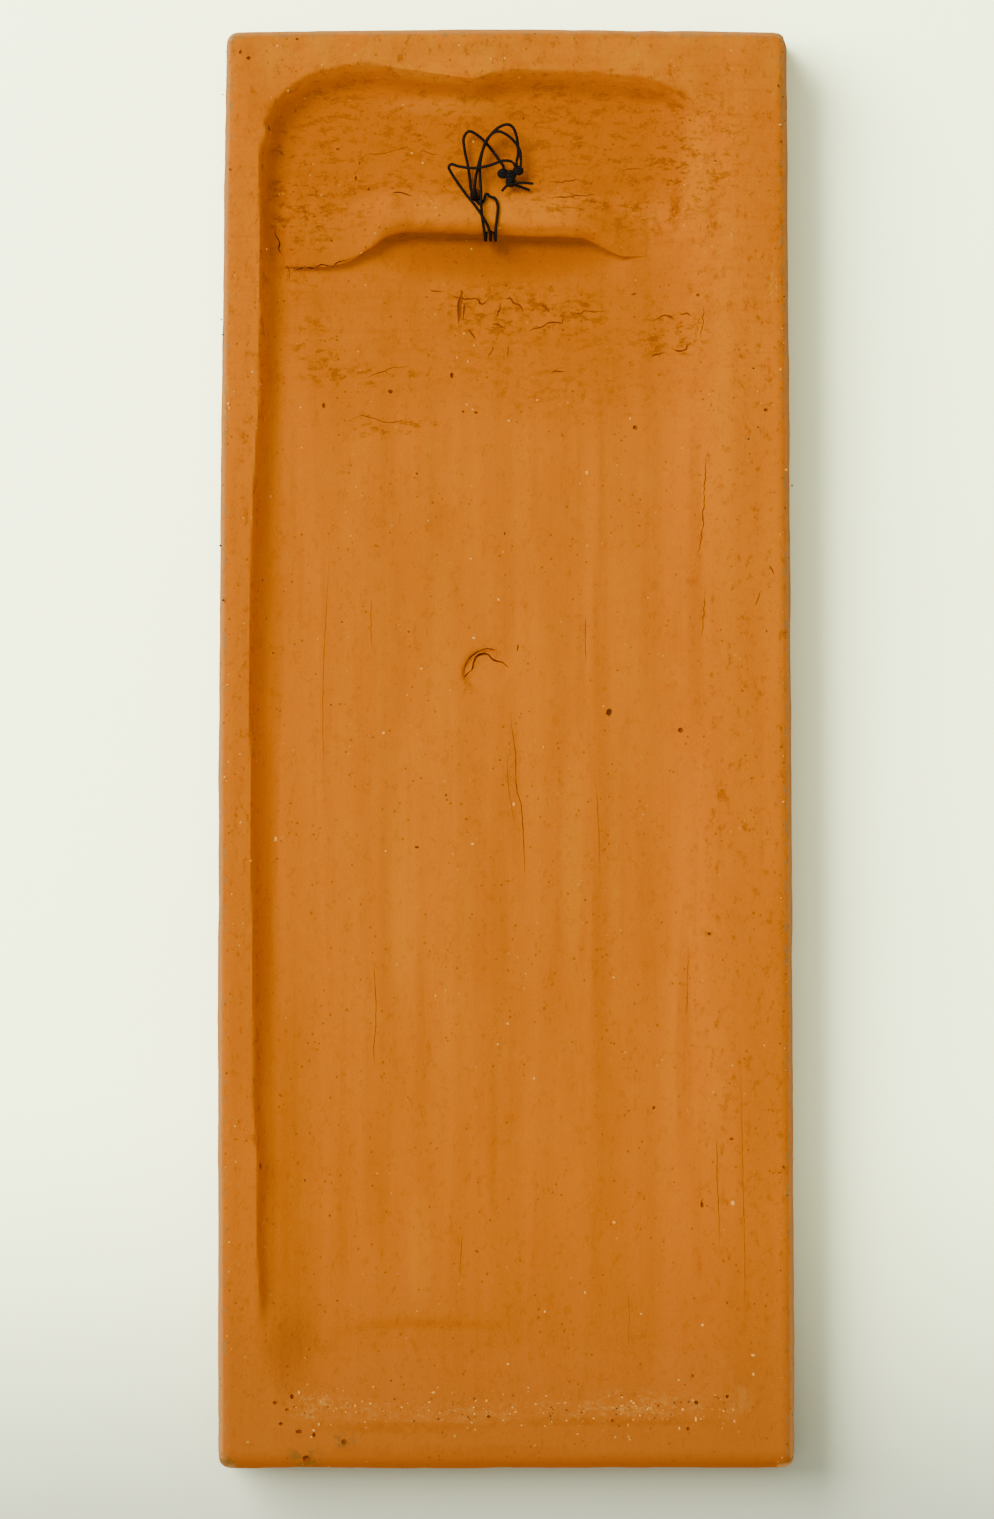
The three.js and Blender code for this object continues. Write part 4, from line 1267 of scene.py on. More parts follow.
# %% [markdown]
# Terracotta is iron-rich clay, fired to a strong orange. It is matt and never one colour: broad clouds,
# streaks that run the way the fingers dragged it, a paler film on the high rims, a salt bloom with grit
# towards the foot, and a few greenish stains. The streaks run down on the floor and sideways in its upper
# part. The broad bands and the marks stand where the photograph shows them, on the back alone. The front is
# plainer: a darker wash has stayed in its low places and hands have rubbed its high ones. The bump adds only
# what is finer than the mesh: streaks, sand and pores.

# %% Colours of the clay
CLAY = (0.665, 0.172, 0, 1)
CLAY_DEEP = (0.51, 0.125, 0, 1)
# A dark clay for dirt, washes and torn marks, and also for painted shade in the low places.
CLAY_DIRT_AND_SHADE = (0.34, 0.074, 0, 1)
CLAY_FOOT_SHADE = (0.43, 0.121, 0.011, 1)
CLAY_PALE = (0.675, 0.208, 0.003, 1)
CLAY_DUST = (0.635, 0.26, 0.012, 1)
CLAY_ASH = (0.62, 0.27, 0.07, 1)
CLAY_DARK = (0.13, 0.03, 0, 1)
CLAY_CRACK = (0.22, 0.05, 0, 1)
LICHEN = (0.28, 0.19, 0.06, 1)
SALT = (0.62, 0.29, 0.04, 1)
OCHRE = (0.70, 0.38, 0.03, 1)
STAIN = (0.13, 0.085, 0.02, 1)
CREAM = (0.8, 0.43, 0.045, 1)
CLAY_SPECULAR = 0.02

# %% Where things are on the clay, and its grain
clay = Finish("terracotta")
place = clay.place_in_mm()
x = clay.node("ShaderNodeSeparateXYZ", None, {0: place})
y = Level(clay, x.socket.node.outputs["Y"])
z = Level(clay, x.socket.node.outputs["Z"])
back = clay.step(y, -20, -13)
sunk = clay.step(y, -2.5, -7) * back
hollow = clay.step(z, LIP_Z - 8, LIP_Z + 6) * back
clouds = clay.grain(place, (15, 40, 120), 2, 0.5)
smudges = clay.grain(place, (7, 7, 9), 6, 0.8, 101)
scuffs = clay.step(clay.grain(place, (2.6, 2.6, 3.4), 5, 0.75, 107), 0.56, 0.68)
small_clouds = clay.grain(place, (9, 9, 13), 3, 0.6, 11)
down_streaks = clay.grain(place, (5.5, 8, 110), 3, 0.5, 23)
fine_streaks = clay.grain(place, (0.7, 3, 16), 3, 0.6, 37)
side_streaks = clay.grain(place, (42, 6, 2.1), 3, 0.6, 41)
sand = clay.grain(place, (0.55, 0.55, 0.55), 2, 0.6, 53)
sideways = clay.step(z, -108, -72) * back
streaks = down_streaks * (1 - sideways) + side_streaks * sideways

# %% Clouds, smudges and streaks
colour = clay.mix(0.4 * clay.step(clouds, 0.6, 0.36), CLAY, CLAY_DEEP)
colour = clay.mix(0.34 * clay.step(small_clouds, 0.45, 0.75), colour, CLAY_PALE)
worked = 0.16 + 0.84 * clay.step(z, -104, -60) * back
colour = clay.mix(0.55 * worked * clay.step(smudges, 0.5, 0.64), colour, CLAY_DEEP)
colour = clay.mix(0.35 * worked * clay.step(smudges, 0.48, 0.36), colour, CLAY_PALE)
colour = clay.mix(0.3 * clay.step(streaks, 0.5, 0.74), colour, CLAY_PALE)
colour = clay.mix(0.38 * clay.step(streaks, 0.48, 0.3), colour, CLAY_DEEP)
colour = clay.mix(0.06 * clay.step(fine_streaks, 0.52, 0.8), colour, CLAY_PALE)

# %% [markdown]
# Next come the broad changes over the back: dust and dirt on its rims, a little painted shade on the +x rim,
# and painted shade in the hollow, under the strap, towards the foot and on the bottom edge. The bands along
# the finger marks are soft patches in a table, each placed by its point in the photograph. They are partly the
# clay's own streaks and partly painted shade and light beside the ridges.

# %% Rims, floor and foot
rim = back - sunk
colour = clay.mix(0.3 * rim * clay.step(small_clouds, 0.3, 0.7) * clay.step(z, 4, 22), colour, CLAY_DUST)
# Painted shade: the rim on the +x side, where the key light falls strongest, is painted a little darker.
colour = clay.mix(0.25 * rim * clay.step(x, 76, 84), colour, CLAY_DEEP)
dirt = clay.step(clay.grain(place, (3.4, 3.4, 5), 5, 0.75, 109), 0.53, 0.68)
colour = clay.mix(0.7 * rim * dirt, colour, CLAY_DIRT_AND_SHADE)
# Painted shade in the hollow above the strap and on the floor under it, fading downwards. The patch by the
# lobe is darker clay.
hollow_shade_and_darker_clay = 0.9 * sunk * clay.step(z, -25, -19) + 0.5 * sunk * clay.step(z, -100, -44) * (1 - hollow)
hollow_shade_and_darker_clay = hollow_shade_and_darker_clay + 0.8 * clay.spot(x, z, 310, 225, 30, 18) * clay.step(y, -1, -3)
# Painted shade: the lower part is also painted darker, where less light falls.
colour = clay.mix(hollow_shade_and_darker_clay * back + 0.4 * clay.step(z, -250, -380), colour, CLAY_DEEP)
# Painted shade towards the foot, where less light falls, and darker still on the bottom edge, which faces
# down.
colour = clay.mix(0.8 * clay.step(z, -340, -428), colour, CLAY_FOOT_SHADE)
colour = clay.mix(0.65 * clay.step(z, -420.5, -426), colour, CLAY_DIRT_AND_SHADE)

# %% Bands along the finger marks, with painted shade and light beside the ridges
# The dark bands on the floor are partly darker streaks of clay and partly painted shade on the ridges' shaded
# sides.
# For each band: column, row, reach in x and z in mm, and share
SHADE_AND_DARK_BANDS = {
    "right of the middle": (600, 824, 4, 123, 0.5),
    "upper right": (694, 600, 3, 60, 0.6),
    "lower right": (684, 1054, 3.5, 54, 0.7),
    "beside the split": (513, 790, 3, 34, 0.5),
    "under the split": (492, 940, 8, 34, 0.45),
    "lower left": (376, 1185, 6, 30, 0.6),
    "left": (326, 715, 2.5, 64, 0.5),
    "lower middle": (492, 1130, 2.5, 30, 0.5),
    "over the dish": (442, 523, 7, 8, 0.5),
    # Painted shade under the low step across the foot.
    "foot of the floor": (430, 1322, 34, 3, 0.5),
    "right rim": (752, 1020, 8, 80, 0.4),
    # The next two are painted shade on the top wall and its corner, which face away from the light.
    "upper hollow": (540, 98, 28, 5, 0.7),
    "left of the hollow": (268, 108, 9, 9, 0.5),
    "middle of the hollow": (400, 140, 30, 4, 0.45),
    "patch right of the strap": (598, 222, 13, 8, 0.8),
    "below the strap": (560, 350, 60, 32, 0.5),
    "left below the strap": (372, 390, 30, 18, 0.4),
}
# The pale bands are partly paler streaks of clay and partly painted light on the ridges' lit sides.
LIGHT_AND_PALE_BANDS = {
    "middle": (572, 860, 5, 42, 0.5),
    "left of the middle": (400, 905, 6, 50, 0.4),
    "over the left": (445, 650, 5, 40, 0.35),
    "beside the foot": (420, 1250, 5, 24, 0.4),
    # Painted light on the gentle right wall, which faces the light.
    "right": (722, 420, 4, 90, 0.35),
    # Painted light on the strap's face, which tilts towards the light, together with a paler film on it.
    "strap": (500, 212, 34, 6, 0.3),
    "lighter stroke in the hollow": (446, 107, 28, 4, 0.4),
    "beside the hollow": (696, 170, 6, 28, 0.4),
    "lobe": (330, 236, 17, 8, 0.12),
}

dark_bands_and_shade = clay.spots(x, z, SHADE_AND_DARK_BANDS) * (0.5 + 0.5 * clay.step(streaks, 0.4, 0.6))
colour = clay.mix(dark_bands_and_shade * back, colour, CLAY_DEEP)
colour = clay.mix(clay.spots(x, z, LIGHT_AND_PALE_BANDS) * back, colour, CLAY_PALE)

# %% [markdown]
# The front and the sides don't show in the photograph, so they are plainer. A wash has stayed in the low
# places of the front, hands have rubbed its high ones, and pale ash has settled on the sides by the back.

# %% Front and sides
front = 1 - back
wash = front * clay.step(y, -25.4, -23.9) * (0.35 + 0.65 * clay.step(small_clouds, 0.35, 0.65))
colour = clay.mix(0.5 * wash, colour, CLAY_DIRT_AND_SHADE)
rubbed = front * clay.step(y, -25.8, -27.8) * clay.step(smudges, 0.4, 0.62)
colour = clay.mix(0.45 * rubbed, colour, CLAY_DUST)
outer = clay.step(clay.node("ShaderNodeMath", {"operation": "ABSOLUTE"}, {0: x}), 85.5, 87)
outer = outer + clay.step(z, 26, 28.5)
outer = outer * clay.step(y, -27.4, -25)
ash = (0.15 + 0.6 * clay.step(y, -8, -3)) * clay.step(y, -0.45, -1.4)
colour = clay.mix(outer * ash, colour, CLAY_ASH)
colour = clay.mix(0.3 * outer * clay.step(y, -2, -5) * clay.step(smudges, 0.46, 0.6), colour, CLAY_DIRT_AND_SHADE)
lichen = clay.step(y, -0.1, -0.4) * clay.step(y, -1.6, -1)
lichen = lichen * clay.step(clay.grain(place, (2, 2, 3.5), 3, 0.7, 97), 0.5, 0.62)
colour = clay.mix(0.5 * outer * lichen, colour, LICHEN)

# %% Painted shade under the lip, under the salt band and at the end of the hollow
# Painted shade: the floor under the strap's lip is painted darker.
painted_shade_under_lip = clay.spot(x, z, 494, 244, 48, 16) * clay.step(y, -5, -7.5) * back
colour = clay.mix(0.75 * painted_shade_under_lip, colour, CLAY_DIRT_AND_SHADE)
# Painted shade: dark bands under the salt band and just above the bottom edge.
foot_shade = clay.spot(x, z, 400, 1424, 34, 2.4) + clay.spot(x, z, 600, 1418, 46, 2)
foot_shade = foot_shade + 0.7 * clay.spot(x, z, 430, 1446, 60, 2.6)
colour = clay.mix(0.45 * foot_shade * back * clay.step(smudges, 0.36, 0.58), colour, CLAY_DIRT_AND_SHADE)
# Painted shade in the crease at the right end of the hollow, and at the right end of the top wall.
painted_shade_at_hollow_end = clay.spot(x, z, 674, 212, 2.6, 8) + 0.7 * clay.spot(x, z, 660, 96, 14, 3)
colour = clay.mix(0.6 * painted_shade_at_hollow_end * back * clay.step(smudges, 0.38, 0.56), colour, CLAY_DIRT_AND_SHADE)

# %% [markdown]
# Salt came out of the damp clay near the foot and dried there as a pale, glinting bloom. There are touches
# of yellow ochre on the rims, and greenish stains at the foot.

# %% Salt, ochre and stains
salt_band = clay.spot(x, z, 505, 1408, 76, 4.5) + 1.6 * clay.spot(x, z, 318, 1402, 13, 6)
salt_band = salt_band + clay.spot(x, z, 645, 1400, 24, 6)
salt = salt_band * clay.step(clay.grain(place, (3, 3, 1.6), 5, 0.8, 61), 0.44, 0.64)
salt = salt * back * clay.step(smudges, 0.4, 0.6)
glints = salt_band * back * clay.step(clay.cells(place, 1.2, 17), 0.34, 0.16)
glints = glints * clay.step(clay.grain(place, (6, 6, 3), 3, 0.7, 113), 0.5, 0.62)
salt_edge = clay.spot(x, z, 735, 1385, 7, 14) * back * clay.step(small_clouds, 0.42, 0.6)
colour = clay.mix(0.46 * salt + 0.2 * salt_edge, colour, SALT)
colour = clay.mix(0.32 * glints, colour, CREAM)
yellow = clay.spot(x, z, 772, 290, 2.2, 7) + clay.spot(x, z, 731, 238, 1.6, 4)
yellow = yellow + clay.spot(x, z, 226, 400, 2, 12)
yellow = yellow * back * clay.step(clay.grain(place, (0.8, 1, 2), 3, 0.7, 103), 0.5, 0.6)
colour = clay.mix(0.5 * yellow, colour, OCHRE)
stains = clay.spot(x, z, 306, 1454, 8, 5) + clay.spot(x, z, 345, 1436, 6, 4) * 0.8
stains = stains + clay.spot(x, z, 224, 1462, 7, 5) + clay.spot(x, z, 790, 1462, 5, 5)
stained = stains * clay.step(clay.grain(place, (3, 3, 2), 3, 0.7, 67), 0.42, 0.6)
colour = clay.mix(0.6 * stained, colour, STAIN)

# %% [markdown]
# Where the clay tore, dirt has settled in the rough places. Small dark and pale specks lie everywhere. The
# same masks also feed the bump, so that a mark which is dark is a little sunk as well.

# %% Torn clay and specks
# For each torn place: column, row, reach in x and z in mm, and share
TORN_SPOTS = {
    "below the lip": (520, 310, 36, 11, 1),
    "right of the lip": (676, 335, 14, 10, 1),
    "left of the hollow": (300, 235, 12, 26, 1),
    "over the right end of the strap": (590, 205, 26, 6, 1),
    "right of the hollow": (700, 155, 18, 26, 1),
    "smear below the lobe": (365, 376, 22, 5, 1),
    "lower smear": (392, 428, 20, 5, 1),
    "beside the left wall": (315, 350, 9, 14, 1),
    "below the tears": (560, 360, 60, 26, 0.4),
}

specks = clay.step(clay.cells(place, 2.6, 5), 0.2, 0.1)
specks = specks * clay.step(clay.grain(place, (6, 6, 6), 1, 0.5, 71), 0.5, 0.62)
pale_specks = clay.step(clay.cells(place, 3.4, 9), 0.13, 0.06)
pale_specks = pale_specks * clay.step(clay.grain(place, (11, 11, 15), 2, 0.5, 73), 0.52, 0.66)
torn = (clay.spots(x, z, TORN_SPOTS) + 0.7 * hollow * sunk) * back
marks = clay.step(clay.grain(place, (6.5, 5, 2.8), 7, 0.82, 89), 0.53, 0.64)
colour = clay.mix(0.5 * marks * torn, colour, CLAY_DIRT_AND_SHADE)
colour = clay.mix(0.08 * scuffs + 0.34 * scuffs * torn, colour, CLAY_DIRT_AND_SHADE)
colour = clay.mix(0.5 * specks, colour, CLAY_DARK)
colour = clay.mix(0.6 * pale_specks, colour, CREAM)
colour = clay.mix(0.12 * clay.step(sand, 0.5, 0.75), colour, CLAY_DARK)

# %% Bump and the finished terracotta
relief = 0.8 * streaks + 0.2 * fine_streaks + 0.6 * smudges * worked + 0.55 * sand
relief = relief + 0.5 * clay.grain(place, (1.6, 1.6, 1.6), 3, 0.65, 79)
pores = clay.step(clay.cells(place, 1.9, 13), 0.16, 0.05)
relief = relief - 0.8 * pores * clay.step(clay.grain(place, (7, 7, 7), 1, 0.5, 83), 0.45, 0.6)
relief = relief - 1.2 * marks * torn - 0.6 * scuffs
bump = clay.node("ShaderNodeBump", None, {"Strength": 0.7, "Distance": 0.24 * MM, "Height": relief})
roughness = 0.84 + 0.14 * sand
terracotta_clay = clay.surface(
    Base_Color=colour, Roughness=roughness, Specular_IOR_Level=CLAY_SPECULAR, Normal=bump,
)
print("clay nodes:", len(terracotta_clay.node_tree.nodes))

# %% [markdown]
# Inside a cut the clay is painted darker, for the dirt and the shade in a crack.

# %% The clay inside cuts
cut_clay = Finish("clay in cuts")
cut_grain = cut_clay.grain(cut_clay.place_in_mm(), (2.4, 2.4, 2.4), 3, 0.6, 5)
cut_colour = cut_clay.mix(cut_clay.step(cut_grain, 0.35, 0.65), CLAY_CRACK, CLAY_DIRT_AND_SHADE)
clay_in_cuts = cut_clay.surface(Base_Color=cut_colour, Roughness=0.95, Specular_IOR_Level=CLAY_SPECULAR)
print("clay in cuts:", len(clay_in_cuts.node_tree.nodes), "nodes")

# %% [markdown]
# The thread is soaked in black wax, which gives it a soft sheen that breaks up where fibres stand out. The
# grit in the clay is of two kinds: cream grains of lime and sand, and dark grains of iron.

# %% Wax and grit
WAX_BLACK = (0.0035, 0.0025, 0.0015, 1)
WAX_WORN = (0.011, 0.0075, 0.005, 1)
LIME = (1, 0.5, 0.06, 1)
PALE_SAND = (0.95, 0.36, 0.015, 1)
IRON_BLACK = (0.045, 0.018, 0.008, 1)
IRON_BROWN = (0.16, 0.055, 0.012, 1)


def waxed_thread():
    """Black waxed cord."""
    wax = Finish("black waxed thread")
    place = wax.place_in_mm()
    fibres = wax.grain(place, (0.12, 0.12, 0.5), 2, 0.6, 3)
    colour = wax.mix(fibres, WAX_BLACK, WAX_WORN)
    bump = wax.node("ShaderNodeBump", None, {"Strength": 0.4, "Distance": 0.04 * MM, "Height": fibres})
    roughness = 0.42 + 0.25 * fibres
    return wax.surface(Base_Color=colour, Roughness=roughness, Specular_IOR_Level=0.1, Normal=bump)


def grit(name, first, second):
    """Grains that differ a little from one to the next."""
    grain = Finish(name)
    colour = grain.mix(grain.grain(grain.place_in_mm(), (2.3, 2.3, 2.3), 1, 0.5, 7), first, second)
    return grain.surface(Base_Color=colour, Roughness=0.5, Specular_IOR_Level=0.2)


wax = waxed_thread()
for cord_piece in cord_pieces:
    cord_piece.data.materials.append(wax)
pale_stone = grit("cream grit", LIME, PALE_SAND)
dark_stone = grit("iron grit", IRON_BLACK, IRON_BROWN)

# %% [markdown]
# Now the body is put together. The booleans run with Blender's Manifold solver, which is exact about closed
# meshes and quick. The relief is joined on, and the hole, the cracks and the pits are cut, in one stack of
# modifiers that is then applied.

# %% Join and cut
PLAQUE_CREASE = 38


def with_booleans(name, base, steps, *materials):
    """A new object: base with each step joined on or cut out. Steps are (operation, points, faces, slot)."""
    body = make_object(name, *base, *materials)
    bodies = [body]
    for number, (operation, points, faces, slot) in enumerate(steps):
        tool = make_object(f"tool_{number}", points, faces, *materials)
        outward(tool)
        tool.data.polygons.foreach_set("material_index", [slot] * len(tool.data.polygons))
        change = body.modifiers.new(tool.name, "BOOLEAN")
        change.operation = operation
        change.solver = "MANIFOLD"
        change.object = tool
        bodies.append(tool)
    outward(body)
    bpy.context.view_layer.update()
    evaluated = body.evaluated_get(bpy.context.evaluated_depsgraph_get())
    mesh = bpy.data.meshes.new_from_object(evaluated)
    for used in bodies:
        bpy.data.objects.remove(used)
    made = bpy.data.objects.new(name, mesh)
    bpy.context.scene.collection.objects.link(made)
    return made


def outward(obj):
    """Turns all faces of a closed mesh outwards."""
    working = bmesh.new()
    working.from_mesh(obj.data)
    bmesh.ops.recalc_face_normals(working, faces=working.faces)
    working.to_mesh(obj.data)
    working.free()


def loose_edges(obj):
    """Edges that don't have exactly two faces, which a closed mesh has none of."""
    working = bmesh.new()
    working.from_mesh(obj.data)
    found = sum(1 for line in working.edges if len(line.link_faces) != 2)
    working.free()
    return found


def boss():
    """The rosette's domed middle."""
    ball = bmesh.new()
    bmesh.ops.create_uvsphere(ball, u_segments=28, v_segments=16, radius=BOSS_RADIUS)
    points = np.array([vertex.co for vertex in ball.verts])
    faces = [tuple(vertex.index for vertex in face.verts) for face in ball.faces]
    ball.free()
    return points * (1, RELIEF_HEIGHT / BOSS_RADIUS, 1) + (0, PANEL_Y, rosette_z), faces


relief_steps = [("UNION", *part, CLAY_SLOT) for part in [*blades[1:], boss()]]
relief = with_booleans("relief", blades[0], relief_steps, terracotta_clay)
relief_points = np.array([vertex.co for vertex in relief.data.vertices]) / MM
relief_faces = [tuple(face.vertices) for face in relief.data.polygons]
print("relief:", len(relief_faces), "faces,", loose_edges(relief), "loose edges")
bpy.data.objects.remove(relief)

body_steps = [("UNION", relief_points, relief_faces, CLAY_SLOT), ("DIFFERENCE", *hole_cutter, CUT_SLOT)]
body_steps += [("DIFFERENCE", *cutter) for cutter in cutters]
body_skin = (np.vstack(skin.points), skin.faces)
plaque = with_booleans("terracotta_plaque", body_skin, body_steps, terracotta_clay, clay_in_cuts)
shade_smooth(plaque, PLAQUE_CREASE)
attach(plaque, "root")
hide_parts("plaque")
plaque.data.calc_loop_triangles()
print("plaque:", len(plaque.data.loop_triangles), "triangles,", loose_edges(plaque), "loose edges")

# %% [markdown]
# Grains of grit sit half sunk in the clay. The ones that the photograph shows are listed one by one, and the
# rest are scattered by a seeded draw, thickest in the salt band near the foot.

# %% Grit
GRIT_FLATNESS = 0.45
# Grains that the photograph shows: column, row and radius in mm
PALE_GRAINS = [
    (499, 600, 0.55), (384, 733, 0.6), (276, 839, 0.95), (473, 844, 0.55), (514, 804, 0.7), (242, 822, 0.45),
    (471, 559, 0.4), (587, 473, 0.75), (614, 1222, 0.65), (585, 1292, 0.45), (545, 1311, 0.55),
    (702, 1323, 0.6), (752, 1352, 0.7), (752, 1371, 0.6), (732, 1201, 0.9), (434, 1390, 0.6),
    (695, 1416, 0.6), (682, 1406, 0.6), (498, 1044, 0.45), (534, 1078, 0.45), (508, 1363, 0.6),
    (356, 1403, 0.5), (474, 638, 0.6), (509, 421, 0.5), (473, 410, 0.4), (467, 405, 0.45),
    (468, 362, 0.4), (457, 358, 0.4), (474, 346, 0.4), (464, 334, 0.4),
    (302, 448, 0.4), (254, 374, 0.45), (230, 406, 0.6), (231, 410, 0.45), (223, 322, 0.4), (271, 497, 0.45),
    (412, 154, 0.4), (423, 164, 0.4), (436, 210, 0.35), (500, 230, 0.4), (682, 449, 0.4), (630, 419, 0.5),
    (323, 69, 0.4), (289, 94, 0.55), (279, 50, 0.55), (505, 62, 0.4), (648, 598, 0.35), (300, 1390, 0.6),
]
DARK_GRAINS = [
    (417, 474, 0.4), (342, 622, 0.35), (409, 632, 0.35), (222, 547, 0.45), (225, 601, 0.5), (446, 795, 0.4),
    (331, 705, 0.35), (463, 412, 0.4), (640, 500, 0.3), (747, 441, 0.35), (653, 1108, 0.4), (478, 1182, 0.3),
    (305, 1180, 0.4), (520, 1260, 0.3), (330, 1215, 0.35), (726, 1300, 0.45), (500, 760, 0.35),
    (585, 900, 0.35),
]
BAND_SHARE = 0.5
BAND_ROW = 1406
BAND_SPREAD = 11
BAND_COLUMNS = (295, 740)
EDGE_SHARE = 0.22
EDGE_SPREAD = 3
LEFT_EDGE_COLUMN = 227
RIGHT_EDGE_COLUMN = 781
ALL_COLUMNS = (226, 786)
ALL_ROWS = (40, 1460)
ROW_LIMITS = (36, 1462)
SMALL_GRAIN_POWER = 2.8
# How many grains are scattered, and their smallest and largest radius in mm
SCATTER = {"pale": (320, 0.13, 0.5), "dark": (190, 0.15, 0.42)}


def scatter(count, smallest, largest, seed):
    """Seeded places and sizes for small grains, most of them in the salt band and by the long edges."""
    random = np.random.default_rng(seed)
    columns = random.uniform(*ALL_COLUMNS, count)
    rows = random.uniform(*ALL_ROWS, count)
    kind = random.random(count)
    in_band = kind < BAND_SHARE
    rows = np.where(in_band, random.normal(BAND_ROW, BAND_SPREAD, count), rows)
    columns = np.where(in_band, random.uniform(*BAND_COLUMNS, count), columns)
    by_edge = kind > 1 - EDGE_SHARE
    at_right = random.normal(RIGHT_EDGE_COLUMN, EDGE_SPREAD, count)
    columns = np.where(by_edge & (columns > NAIL_COLUMN), at_right, columns)
    at_left = random.normal(LEFT_EDGE_COLUMN, EDGE_SPREAD, count)
    columns = np.where(by_edge & (columns < NAIL_COLUMN), at_left, columns)
    sizes = smallest + (largest - smallest) * random.random(count) ** SMALL_GRAIN_POWER
    return list(zip(columns, np.clip(rows, *ROW_LIMITS), sizes))


def grit_piece(name, grains, seed, material):
    """One piece that holds many grains, each a flattened rough ball half sunk in the surface."""
    random = np.random.default_rng(seed)
    points, faces = [], []
    for column, row, radius in grains:
        x, z = (np.array([value]) for value in from_photo(column, row))
        ground = float(back_surface(x, z, crest_rise(x, z))[0])
        ball_points, ball_faces = rough_ball((x[0], ground, z[0]), radius, GRIT_FLATNESS, random)
        faces += [tuple(len(points) + corner for corner in face) for face in ball_faces]
        points += list(ball_points)
    piece = make_object(name, points, faces, material)
    outward(piece)
    shade_smooth(piece)
    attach(piece, "root")
    print(f"{name}: {len(grains)} grains")


grit_piece("cream_grit", PALE_GRAINS + scatter(*SCATTER["pale"], 5), 15, pale_stone)
grit_piece("iron_grit", DARK_GRAINS + scatter(*SCATTER["dark"], 6), 16, dark_stone)

# %% [markdown]
# The plaque lies face down on a pale table. In this frame the table is an upright sheet just behind the
# front, and it shows only from the side where the camera stands, so that the front can be looked at too. It
# casts no shade of its own on the front. Its paint is darker towards the foot of the picture, where the
# photograph's table lies in shade. A pale floor lies well below, out of the picture.

# %% Table and floor
TABLE_SIZE = 1600
TABLE_GAP = 0.6
FLOOR_Z = -600
FLOOR_SIZE = 9000
TABLE_WHITE = (0.78, 0.86, 0.5, 1)
TABLE_WORN = (0.74, 0.81, 0.46, 1)
TABLE_SHADE = (0.21, 0.22, 0.165, 1)


def square(name, size, centre, across, up, material):
    """A flat square sheet."""
    corners = [(-1, -1), (1, -1), (1, 1), (-1, 1)]
    points = [np.array(centre) + size / 2 * (a * np.array(across) + b * np.array(up)) for a, b in corners]
    sheet = make_object(name, points, [(0, 1, 2, 3)], material)
    return sheet


def table_paint():
    """White paint that shows on one side of the sheet only."""
    paint = Finish("table paint")
    place = paint.place_in_mm()
    z = paint.node("ShaderNodeSeparateXYZ", None, {0: place}, 2)
    colour = paint.mix(paint.grain(place, (90, 90, 90), 3, 0.6), TABLE_WHITE, TABLE_WORN)
    colour = paint.mix(paint.step(z, -300, -480), colour, TABLE_SHADE)
    white = paint.node("ShaderNodeBsdfDiffuse", None, {"Color": colour})
    nothing = paint.node("ShaderNodeBsdfTransparent")
    behind = paint.node("ShaderNodeNewGeometry", output="Backfacing")
    paint.node_output(paint.node("ShaderNodeMixShader", None, {0: behind, 1: white, 2: nothing}))
    return paint.material


def floor_paint():
    """Pale matt paint."""
    paint = Finish("floor paint")
    return paint.surface(Base_Color=(0.8, 0.79, 0.75, 1), Roughness=0.9)


table_centre = (0, FRONT_Y - TABLE_GAP, (TOP_Z + BOTTOM_Z) / 2)
table = square("table", TABLE_SIZE, table_centre, (-1, 0, 0), (0, 0, 1), table_paint())
table.visible_shadow = False
table.visible_diffuse = False
table.visible_glossy = False
square("floor", FLOOR_SIZE, (0, 0, FLOOR_Z), (1, 0, 0), (0, 1, 0), floor_paint())

# %% [markdown]
# The light is that of a bright room: one large soft source to the upper left of the picture, and a fill
# from all round that is stronger from above and from the left. The steep wall at the left and the top wall
# fall into soft shade, as they do in the photograph. A second soft light serves the decorated front. Two
# more light the table alone, because the photograph's table is nearly white beside clay of middle tone.

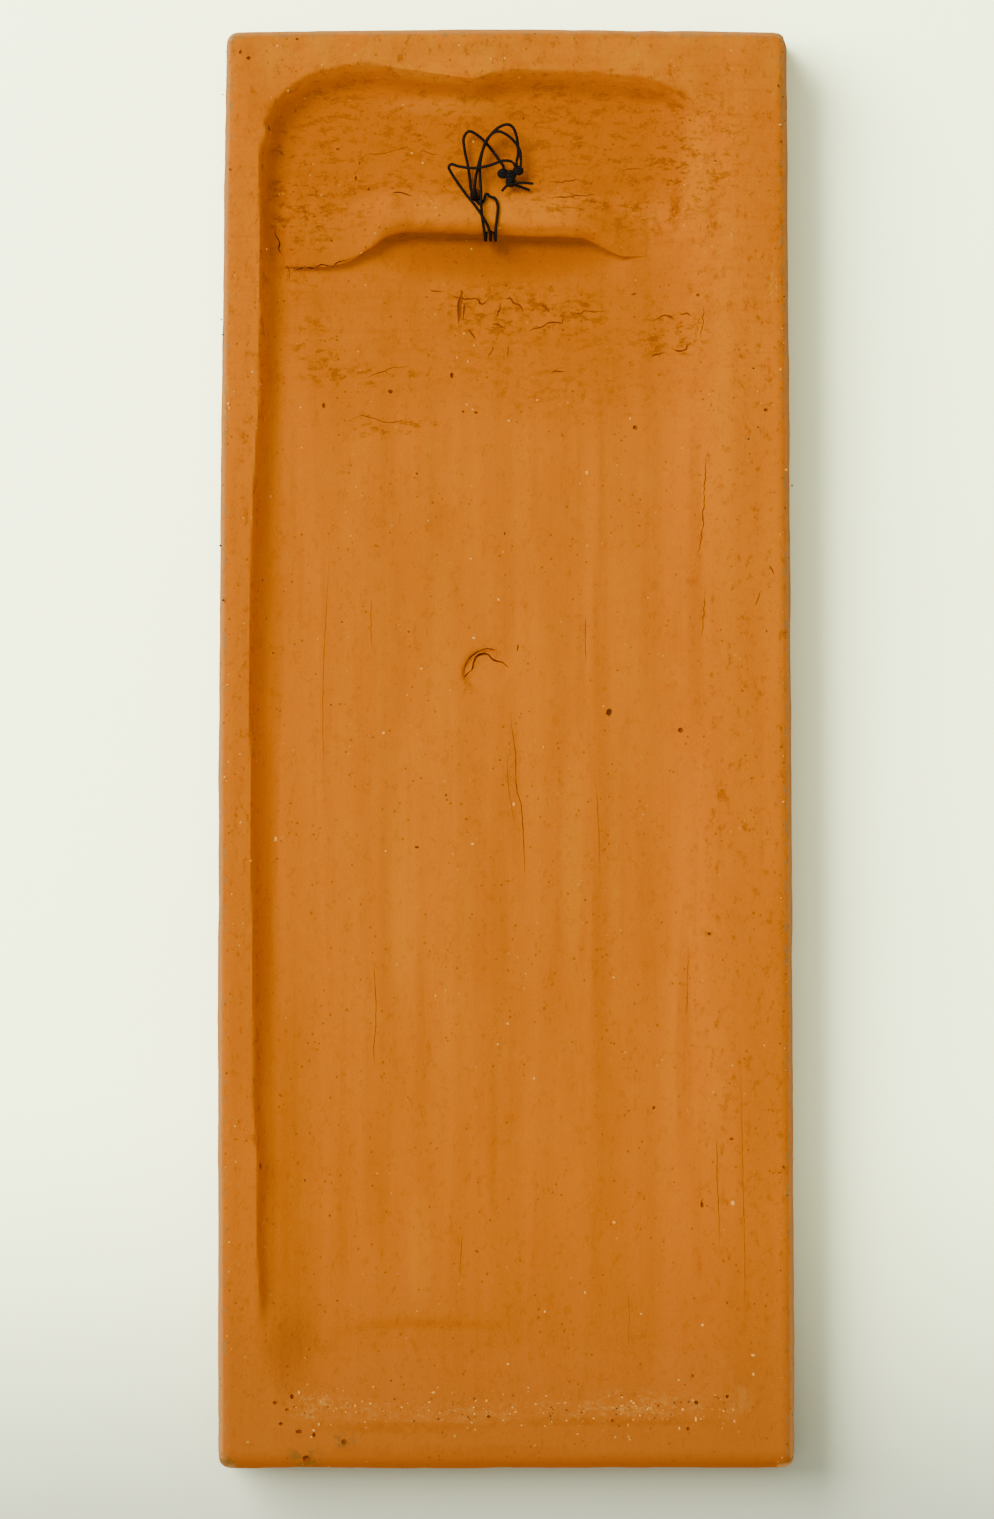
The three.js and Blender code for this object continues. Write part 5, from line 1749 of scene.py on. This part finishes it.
# %% Lights
KEY_PLACE = (1050, 1500, 1000)
KEY_SIZE = 900
KEY_POWER = 39
TABLE_KEY_PLACE = (1300, 1350, 560)
TABLE_KEY_SIZE = 1700
TABLE_KEY_POWER = 288
TABLE_FILL_PLACE = (0, 2600, -200)
TABLE_FILL_POWER = 60
FRONT_PLACE = (1150, -1050, 900)
FRONT_POWER = 28
FILL_STRENGTH = 0.46
FILL_SLOPE = 0.4
FILL_FROM = (0.35, 0, 0.94)
FILL_COLOUR = (1.0, 0.985, 0.95, 1)


def soft_light(name, place, aim, size, power):
    """A large square light that the camera doesn't see."""
    data = bpy.data.lights.new(name, "AREA")
    data.size = size * MM
    data.energy = power
    light = bpy.data.objects.new(name, data)
    light.location = Vector(place) * MM
    light.rotation_euler = (Vector(aim) - Vector(place)).to_track_quat("-Z", "Y").to_euler()
    light.visible_camera = False
    bpy.context.scene.collection.objects.link(light)
    return light


aim = (0, 0, (TOP_Z + BOTTOM_Z) / 2)
soft_light("key", KEY_PLACE, aim, KEY_SIZE, KEY_POWER)
soft_light("front", FRONT_PLACE, aim, KEY_SIZE, FRONT_POWER)
table_only = bpy.data.collections.new("lit as the table")
table_only.objects.link(table)
for table_light in (
    soft_light("table key", TABLE_KEY_PLACE, aim, TABLE_KEY_SIZE, TABLE_KEY_POWER),
    soft_light("table fill", TABLE_FILL_PLACE, aim, TABLE_KEY_SIZE, TABLE_FILL_POWER),
):
    table_light.light_linking.receiver_collection = table_only
world = bpy.data.worlds.new("room")
world.use_nodes = True
bpy.context.scene.world = world
background = world.node_tree.nodes["Background"]
background.inputs["Color"].default_value = FILL_COLOUR
direction = world.node_tree.nodes.new("ShaderNodeTexCoord")
facing = world.node_tree.nodes.new("ShaderNodeVectorMath")
facing.operation = "DOT_PRODUCT"
facing.inputs[1].default_value = FILL_FROM
strength = world.node_tree.nodes.new("ShaderNodeMapRange")
strength.inputs["From Min"].default_value = -1
strength.inputs["To Min"].default_value = FILL_STRENGTH - FILL_SLOPE
strength.inputs["To Max"].default_value = FILL_STRENGTH + FILL_SLOPE
world.node_tree.links.new(direction.outputs["Generated"], facing.inputs[0])
world.node_tree.links.new(facing.outputs["Value"], strength.inputs["Value"])
world.node_tree.links.new(strength.outputs["Result"], background.inputs["Strength"])
